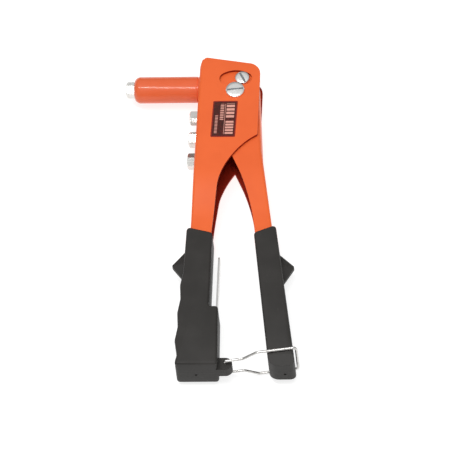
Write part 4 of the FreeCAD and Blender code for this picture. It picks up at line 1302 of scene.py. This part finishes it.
@dataclass
class Grip:
    """A moulded grip: a body with rounded rims, a guard fin and a gate mark."""

    name: str
    node: str
    body: Body
    corners: Sequence[Corner]
    half_depth: float
    fin_at: Point
    fin_reach: float
    fin_turn: float
    gate_at: Point
    mouth_half_depth: float = 9.2
    mouth_y: float = -110.0
    full_y: float = -180.0
    rim: float = 1.9
    fin_half_length: float = 12.5
    fin_half_depth: float = 6.0
    fin_tip_share: float = 0.30
    fin_end_share: float = 0.16
    fin_root: float = 4.0
    fin_taper: float = 1.1
    gate_radius: float = 1.0
    gate_depth: float = 0.6
    gate_drop: float = 2.2
    gate_margin: float = 2.4

    def depth_share(self, y: float) -> float:
        """How deep the grip is at a height, as a share of its full depth."""
        share = max(0.0, (y - self.full_y) / (self.mouth_y - self.full_y))
        return 1.0 + (self.mouth_half_depth / self.half_depth - 1.0) * share

    def blank(self) -> Shape:
        """Shape the grip's body: half of it with a rounded rim, then both halves.

        Returns:
            The closed body.
        """
        mesh = rounded_outline(self.corners)
        grown = bmesh.ops.extrude_face_region(mesh, geom=mesh.faces[:])["geom"]
        lifted(mesh, grown, (0.0, 0.0, self.half_depth))
        top = next(item for item in grown if isinstance(item, bmesh.types.BMFace))
        bmesh.ops.bevel(mesh, geom=top.edges[:], offset=self.rim, offset_type="OFFSET",
                        segments=5, profile=0.5, affect="EDGES", clamp_overlap=False, material=-1)
        floor = [face for face in mesh.faces if all(abs(vert.co.z) < TINY for vert in face.verts)]
        bmesh.ops.delete(mesh, geom=floor, context="FACES_ONLY")
        split(mesh, (0.0, self.full_y, 0.0), (0.0, 1.0, 0.0))
        for vert in mesh.verts:
            vert.co.z *= self.depth_share(vert.co.y)
        bmesh.ops.mirror(mesh, geom=everything(mesh), merge_dist=TINY, axis="Z")
        return tidy(mesh)

    def fin(self) -> Shape:
        """Shape the guard fin, which thins out towards its tip and its two ends.

        Returns:
            The fin.
        """
        side = math.copysign(1.0, self.fin_reach)
        root, end_y = -self.fin_root * side, self.fin_half_length
        mesh = slab([(root, -end_y), (0.0, -end_y), (self.fin_reach, 0.0, 1.3), (0.0, end_y),
                     (root, end_y)], -self.fin_half_depth, self.fin_half_depth)
        split(mesh, (0.0, 0.0, 0.0), (0.0, 1.0, 0.0))
        for vert in mesh.verts:
            out = min(1.0, max(0.0, vert.co.x * side) / abs(self.fin_reach) * self.fin_taper)
            end = abs(vert.co.y) / self.fin_half_length
            vert.co.z *= 1.0 - (1.0 - self.fin_tip_share) * out
            vert.co.z *= 1.0 - (1.0 - self.fin_end_share) * end
        return moved(mesh, *self.fin_at, turn=math.radians(self.fin_turn))

    def gate(self) -> Shape:
        """Shape the small pit that the moulding gate leaves in the grip's end.

        Returns:
            The pit, as a solid to cut with.
        """
        pit = turned([(-1.0, 0.0), (-1.0, self.gate_radius), (self.gate_depth, self.gate_radius),
                      (self.gate_depth, 0.0)], Axis.NOSE, 24)
        moved(pit, turn=math.pi / 2.0)
        return moved(pit, *self.gate_at, -self.gate_drop)

    def shaped(self) -> Shape:
        """Put the grip together from its body and its fin, and cut its gate.

        Returns:
            The grip.
        """
        mesh = combined(self.blank(), self.fin(), Join.ADD)
        for side in (-1.0, 1.0):
            split(mesh, (self.gate_at[0] + side * self.gate_margin, 0.0, 0.0), (1.0, 0.0, 0.0))
            split(mesh, (0.0, 0.0, self.gate_drop * (side - 1.0)), (0.0, 0.0, 1.0))
        return combined(mesh, self.gate(), Join.CUT)

    def build(self) -> None:
        """Make the grip."""
        issue(self.shaped(), self.name, self.body, [self.node], PLASTIC, edge=0.45)


@dataclass
class FixedGrip(Grip):
    """The fixed grip, with a spanner pocket and the lug of the wire latch."""

    lug_radius: float = 5.2
    lug_half_width: float = 4.0
    lug_root: float = -6.6
    pocket_left: float = -7.8
    pocket_right: float = -6.0
    pocket_top: float = -180.0
    pocket_low: float = -228.0
    pocket_half: float = 8.5

    def shaped(self) -> Shape:
        """Add the lug to the grip and cut its pocket.

        Returns:
            The grip.
        """
        mesh = super().shaped()
        x, y = LATCH_HINGE
        radius = self.lug_radius
        rounding = radius * 0.98
        lug = slab([(self.lug_root, y - radius), (x + radius, y - radius, rounding),
                    (x + radius, y + radius, rounding), (self.lug_root, y + radius)],
                   -self.lug_half_width, self.lug_half_width)
        mesh = combined(mesh, lug, Join.ADD)
        pocket = block((self.pocket_left, self.pocket_low, -self.pocket_half),
                       (self.pocket_right, self.pocket_top, self.pocket_half))
        return combined(mesh, pocket, Join.CUT)


@dataclass
class MovingGrip(Grip):
    """The moving grip, with a sloping facet at its heel, in front and behind."""

    facet_y: float = -227.5
    facet_slope: float = 19.0
    facet_left: float = 20.0
    facet_right: float = 70.0
    facet_reach: float = 40.0
    facet_height: float = 20.0

    def shaped(self) -> Shape:
        """Cut the grip's heel facets.

        Returns:
            The grip.
        """
        mesh = super().shaped()
        for side in (1.0, -1.0):
            low = min(side, 0.0) * self.facet_height
            wedge = block((self.facet_left, -self.facet_reach, low),
                          (self.facet_right, self.facet_reach, low + self.facet_height))
            moved(wedge, 0.0, self.facet_y, side * self.half_depth,
                  math.radians(self.facet_slope * side), "X")
            mesh = combined(mesh, wedge, Join.CUT)
        return mesh


def finger_bumps() -> list[Corner]:
    """Corners of the fixed grip's outer side.

    Returns:
        The corners, from the heel up past the finger bumps.
    """
    side, pitch, first, height, lean, rounding = -31.6, 24.0, -167.5, 1.8, 1.0, 9.0
    corners: list[Corner] = []
    for index in (2, 1, 0):
        crest, valley_x = first - pitch * index, side - lean * index
        corners.append((valley_x - height, crest, rounding))
        corners.append((valley_x, crest + pitch / 2.0, rounding))
    return corners


def build_grips() -> None:
    """Both grips."""
    FixedGrip(
        name="grip_fixed_moulding", node="fixed_grip", body=Body.FRAME,
        corners=((-30.8, -115.7, 2.6), (-12.0, -121.0, 2.6), (-12.0, -186.0, 2.0),
                 (-5.3, -186.0, 2.2), (-4.0, HEEL_Y, 2.2), (-35.0, HEEL_Y, 2.6),
                 (-33.2, -227.0, 9.0), *finger_bumps()),
        half_depth=12.5, fin_at=(-31.6, -145.0), fin_reach=-9.3, fin_turn=0.0,
        gate_at=(-20.0, HEEL_Y),
    ).build()
    MovingGrip(
        name="grip_moving_moulding", node="moving_grip", body=Body.HANDLE,
        corners=((33.2, -114.4, 2.6), (17.6, -121.2, 2.6), (32.4, HEEL_Y, 7.5),
                 (51.6, HEEL_Y, 4.5)),
        half_depth=12.0, fin_at=(38.28, -148.0), fin_reach=9.3, fin_turn=8.6,
        gate_at=(43.5, HEEL_Y),
    ).build()


# ---------------------------------------------------------------- latch, spanner and label


@dataclass
class Latch:
    """The wire bail that holds the two grips together."""

    lift: float = 8.0
    wire: float = 1.0
    narrow: float = 7.4
    wide: float = 13.5
    flare_start: float = 13.2
    flare_end: float = 23.4
    reach: float = 51.6
    bend: float = 2.5
    pin: float = 6.0

    def path(self) -> list[tuple[Vector, float]]:
        """Lay out the wire in the bail's own plane.

        Returns:
            Its corners, each with the radius of its bend.
        """
        half = [((0.0, self.narrow - self.pin), 0.0), ((0.0, self.narrow), self.bend * 0.6),
                ((self.flare_start, self.narrow), self.bend),
                ((self.flare_end, self.wide), self.bend), ((self.reach, self.wide), self.bend)]
        both = half + [((x, -z), bend) for (x, z), bend in reversed(half)]
        return [(Vector((x, 0.0, z)), bend) for (x, z), bend in both]

    def mesh(self) -> Shape:
        """Sweep the wire along its rounded path.

        Returns:
            The wire.
        """
        path = self.path()
        knots: list[tuple[Vector, Vector, Vector]] = []
        for index, (here, bend) in enumerate(path):
            if not bend:
                knots.append((here, here, here))
                continue
            back = (path[index - 1][0] - here).normalized()
            ahead = (path[index + 1][0] - here).normalized()
            turn = math.pi - back.angle(ahead)
            cut = bend * math.tan(turn / 2.0)
            pull = 4.0 / 3.0 * math.tan(turn / 4.0) * bend
            start, end = here + back * cut, here + ahead * cut
            knots.append((start, start + back * 0.2, start - back * pull))
            knots.append((end, end - ahead * pull, end + ahead * 0.2))
        curve = bpy.data.curves.new("latch_path", "CURVE")
        curve.dimensions = "3D"
        spline = curve.splines.new("BEZIER")
        spline.bezier_points.add(len(knots) - 1)
        for point, (place, left, right) in zip(spline.bezier_points, knots):
            point.handle_left_type = point.handle_right_type = "FREE"
            point.co, point.handle_left, point.handle_right = place, left, right
        spline.resolution_u = 10
        curve.bevel_depth = self.wire
        curve.bevel_resolution = 6
        curve.use_fill_caps = True
        holder = bpy.data.objects.new("latch_path", curve)
        mesh = tidy(reopened(bpy.data.meshes.new_from_object(holder)))
        bpy.data.objects.remove(holder)
        bpy.data.curves.remove(curve)
        return moved(mesh, *LATCH_HINGE, turn=math.radians(self.lift))

    def build(self) -> None:
        """Make the latch."""
        issue(self.mesh(), "latch_bail", Body.LATCH, ["latch_wire"], WIRE, sharp=40.0)


@dataclass
class Spanner:
    """The flat open-ended spanner in the fixed grip's pocket."""

    middle_x: float = -6.9
    half_thick: float = 0.6
    top: float = -138.3
    low: float = -220.0
    shank: float = 4.5
    head: float = 8.0
    head_length: float = 17.0
    jaw: float = 5.3
    jaw_depth: float = 9.0
    neck: float = 4.0
    eye: float = 2.0
    eye_drop: float = 6.0

    def build(self) -> None:
        """Make the spanner."""
        shoulder = self.low + self.head_length
        side = [(self.top, self.shank, 3.0), (shoulder + self.neck, self.shank, 4.0),
                (shoulder, self.head, 3.0), (self.low, self.head, 1.5), (self.low, self.jaw, 0.6),
                (self.low + self.jaw_depth, self.jaw, 1.2)]
        corners = side + [(along, -across, rounding) for along, across, rounding
                          in reversed(side)]
        mesh = slab(corners, -self.half_thick, self.half_thick)
        eye = turned([(-3.0, 0.0), (-3.0, self.eye), (3.0, self.eye), (3.0, 0.0)], Axis.UP, 32)
        mesh = combined(mesh, moved(eye, self.top + self.eye_drop), Join.CUT)
        moved(mesh, turn=math.pi / 2.0, axis="X")
        moved(mesh, self.middle_x, turn=math.pi / 2.0, axis="Z")
        issue(mesh, "spanner_flat", Body.SPANNER, ["spanner"], BRIGHT_NICKEL, edge=0.18)


@dataclass
class LabelPlate:
    """The printed label on the front plate."""

    low: float = 13.71
    high: float = 13.91
    corners: Sequence[Corner] = ((-15.4, -9.5, 0.8), (-16.4, -41.0, 0.8), (1.4, -41.0, 0.8),
                                 (2.4, -9.5, 0.8))

    def build(self) -> None:
        """Make the label."""
        issue(slab(self.corners, self.low, self.high), "label_film", Body.FRAME,
              ["label_plate"], Label(), edge=0.05)


# ---------------------------------------------------------------- works inside


@dataclass
class Spring:
    """A coil spring along the nose's axis, held by a different body at each end."""

    name: str
    node: str
    near_body: Body
    far_body: Body
    near: float
    far: float
    radius: float
    wire: float
    turns: float
    steps_per_turn: int = 28

    def coil(self) -> Shape:
        """Coil the wire and close its ends.

        Returns:
            The coil.
        """
        way = math.copysign(1.0, self.far - self.near)
        run = abs(self.far - self.near) - 2.0 * self.wire
        steps = round(self.turns * self.steps_per_turn)
        mesh = bmesh.new()
        bmesh.ops.create_circle(mesh, cap_ends=False, radius=self.wire, segments=10)
        moved(mesh, self.near + way * self.wire, self.radius)
        bmesh.ops.spin(mesh, geom=everything(mesh), cent=(0.0, 0.0, 0.0), axis=(1.0, 0.0, 0.0),
                       dvec=(way * run / steps, 0.0, 0.0), angle=WHOLE_TURN * self.turns,
                       steps=steps)
        bmesh.ops.holes_fill(mesh, edges=[edge for edge in mesh.edges if edge.is_boundary])
        return tidy(moved(mesh, y=NOSE_Y))

    def build(self) -> None:
        """Make the spring."""
        issue(self.coil(), self.name, self.near_body, [self.node], WIRE, sharp=60.0,
              far=(self.far_body, (self.near, self.far)))


def build_springs() -> None:
    """The spring that opens the handle and the small one behind the jaws."""
    Spring("return_spring_coil", "return_spring", Body.FRAME, Body.DRAW, -26.186, -34.75,
           5.9, 0.7, 4.5).build()
    Spring("jaw_spring_coil", "jaw_spring", Body.DRAW, Body.PUSHER, -43.05, -47.75,
           4.3, 0.4, 3.5).build()


def dress_works() -> None:
    """Give the works inside the tool their metals."""
    nose = (0.0, NOSE_Y, 0.0)
    works = (
        (turned_finish(MACHINED, Axis.UP, (0.0, 0.0, 0.0)), ("pivot_bush",)),
        (turned_finish(MACHINED, Axis.UP, (*PULL_AT, 0.0)), ("pull_pin_collars",)),
        (turned_finish(MACHINED, Axis.NOSE, nose),
         ("rod_guide_bush", "jaw_housing", "jaw_pusher", "draw_rod")),
        (turned_finish(ZINC, Axis.NOSE, nose), ("sleeve_nut", "rod_lock_nut")),
        (HARDENED, ("jaw_upper", "jaw_lower")),
    )
    for finish, nodes in works:
        for node in nodes:
            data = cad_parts[node].data
            data.materials.clear()
            data.materials.append(finish.material(f"{node}_finish"))
            LOG.info("dressed %s", node)


# ---------------------------------------------------------------- studio


@dataclass
class Studio:
    """The floor, the soft light and the camera."""

    look_at: tuple[float, float, float] = (-9.07, -74.57, -49.9)
    toward: tuple[float, float, float] = (0.0815, -0.5611, 0.8237)
    up: tuple[float, float, float] = (0.0085, 0.8268, 0.5624)
    distance: float = 7246.0
    lens: float = 800.0
    sensor: float = 36.0
    horizon: float = 0.06
    zenith: float = 0.72
    floor_size: float = 6.0

    def camera(self) -> None:
        """Set the camera."""
        back = Vector(self.toward).normalized()
        right = Vector(self.up).cross(back).normalized()
        up = back.cross(right)
        spot = PIVOT + (Vector(self.look_at) + back * self.distance) * MM
        data = bpy.data.cameras.new("camera")
        data.lens = self.lens
        data.sensor_width = self.sensor
        data.clip_start = 0.01
        camera = in_scene("camera", data)
        turn = Matrix((right, up, back)).transposed().to_4x4()
        camera.matrix_world = Matrix.Translation(spot) @ turn
        bpy.context.scene.camera = camera

    def floor(self) -> None:
        """Lay the floor."""
        mesh = bmesh.new()
        bmesh.ops.create_grid(mesh, x_segments=1, y_segments=1, size=self.floor_size / 2.0)
        data = mesh_data(mesh, "floor")
        data.materials.append(Floor().material("floor_finish"))
        in_scene("floor", data)

    def lamp(self, name: str, spot: Sequence[float], size: Point, power: float) -> None:
        """Hang a soft lamp that points at the tool.

        Args:
            name: the lamp's name.
            spot: where it hangs, in metres from the tool's middle.
            size: its width and height, in metres.
            power: its power in watts.
        """
        data = bpy.data.lights.new(name, "AREA")
        data.shape = "RECTANGLE"
        data.size, data.size_y = size
        data.energy = power
        lamp = in_scene(name, data)
        lamp.location = spot
        lamp.rotation_euler = Vector(spot).to_track_quat("Z", "Y").to_euler()

    def light(self) -> None:
        """Hang the lamps and set the soft surrounding light."""
        desk = Desk("studio", sky=True)
        aim = desk.signal("ShaderNodeTexCoord", output="Generated")
        height = desk.axes(aim)[2].step(0.0, 1.0)
        glow = self.horizon + (self.zenith - self.horizon) * height
        sky = desk.node("ShaderNodeBackground", None,
                        {"Color": (1.0, 1.0, 1.0, 1.0), "Strength": glow})
        desk.node("ShaderNodeOutputWorld", None, {"Surface": sky.outputs[0]})
        bpy.context.scene.world = desk.material
        self.lamp("top", (-0.15, -0.22, 1.5), (1.3, 0.14), 13.0)
        self.lamp("right", (1.25, -0.75, 0.5), (0.5, 0.4), 1.7)
        self.lamp("low", (-0.1, -1.45, 0.18), (1.2, 0.05), 0.35)

    def build(self) -> None:
        """Set everything round the tool."""
        self.camera()
        self.floor()
        self.light()
        bpy.context.scene.view_settings.view_transform = "Standard"


def main() -> None:
    """Build every piece in order and set the studio."""
    build_frame()
    build_handle()
    build_fasteners()
    build_nose()
    build_grips()
    Latch().build()
    Spanner().build()
    LabelPlate().build()
    build_springs()
    dress_works()
    Studio().build()


if __name__ == "__main__":
    main()
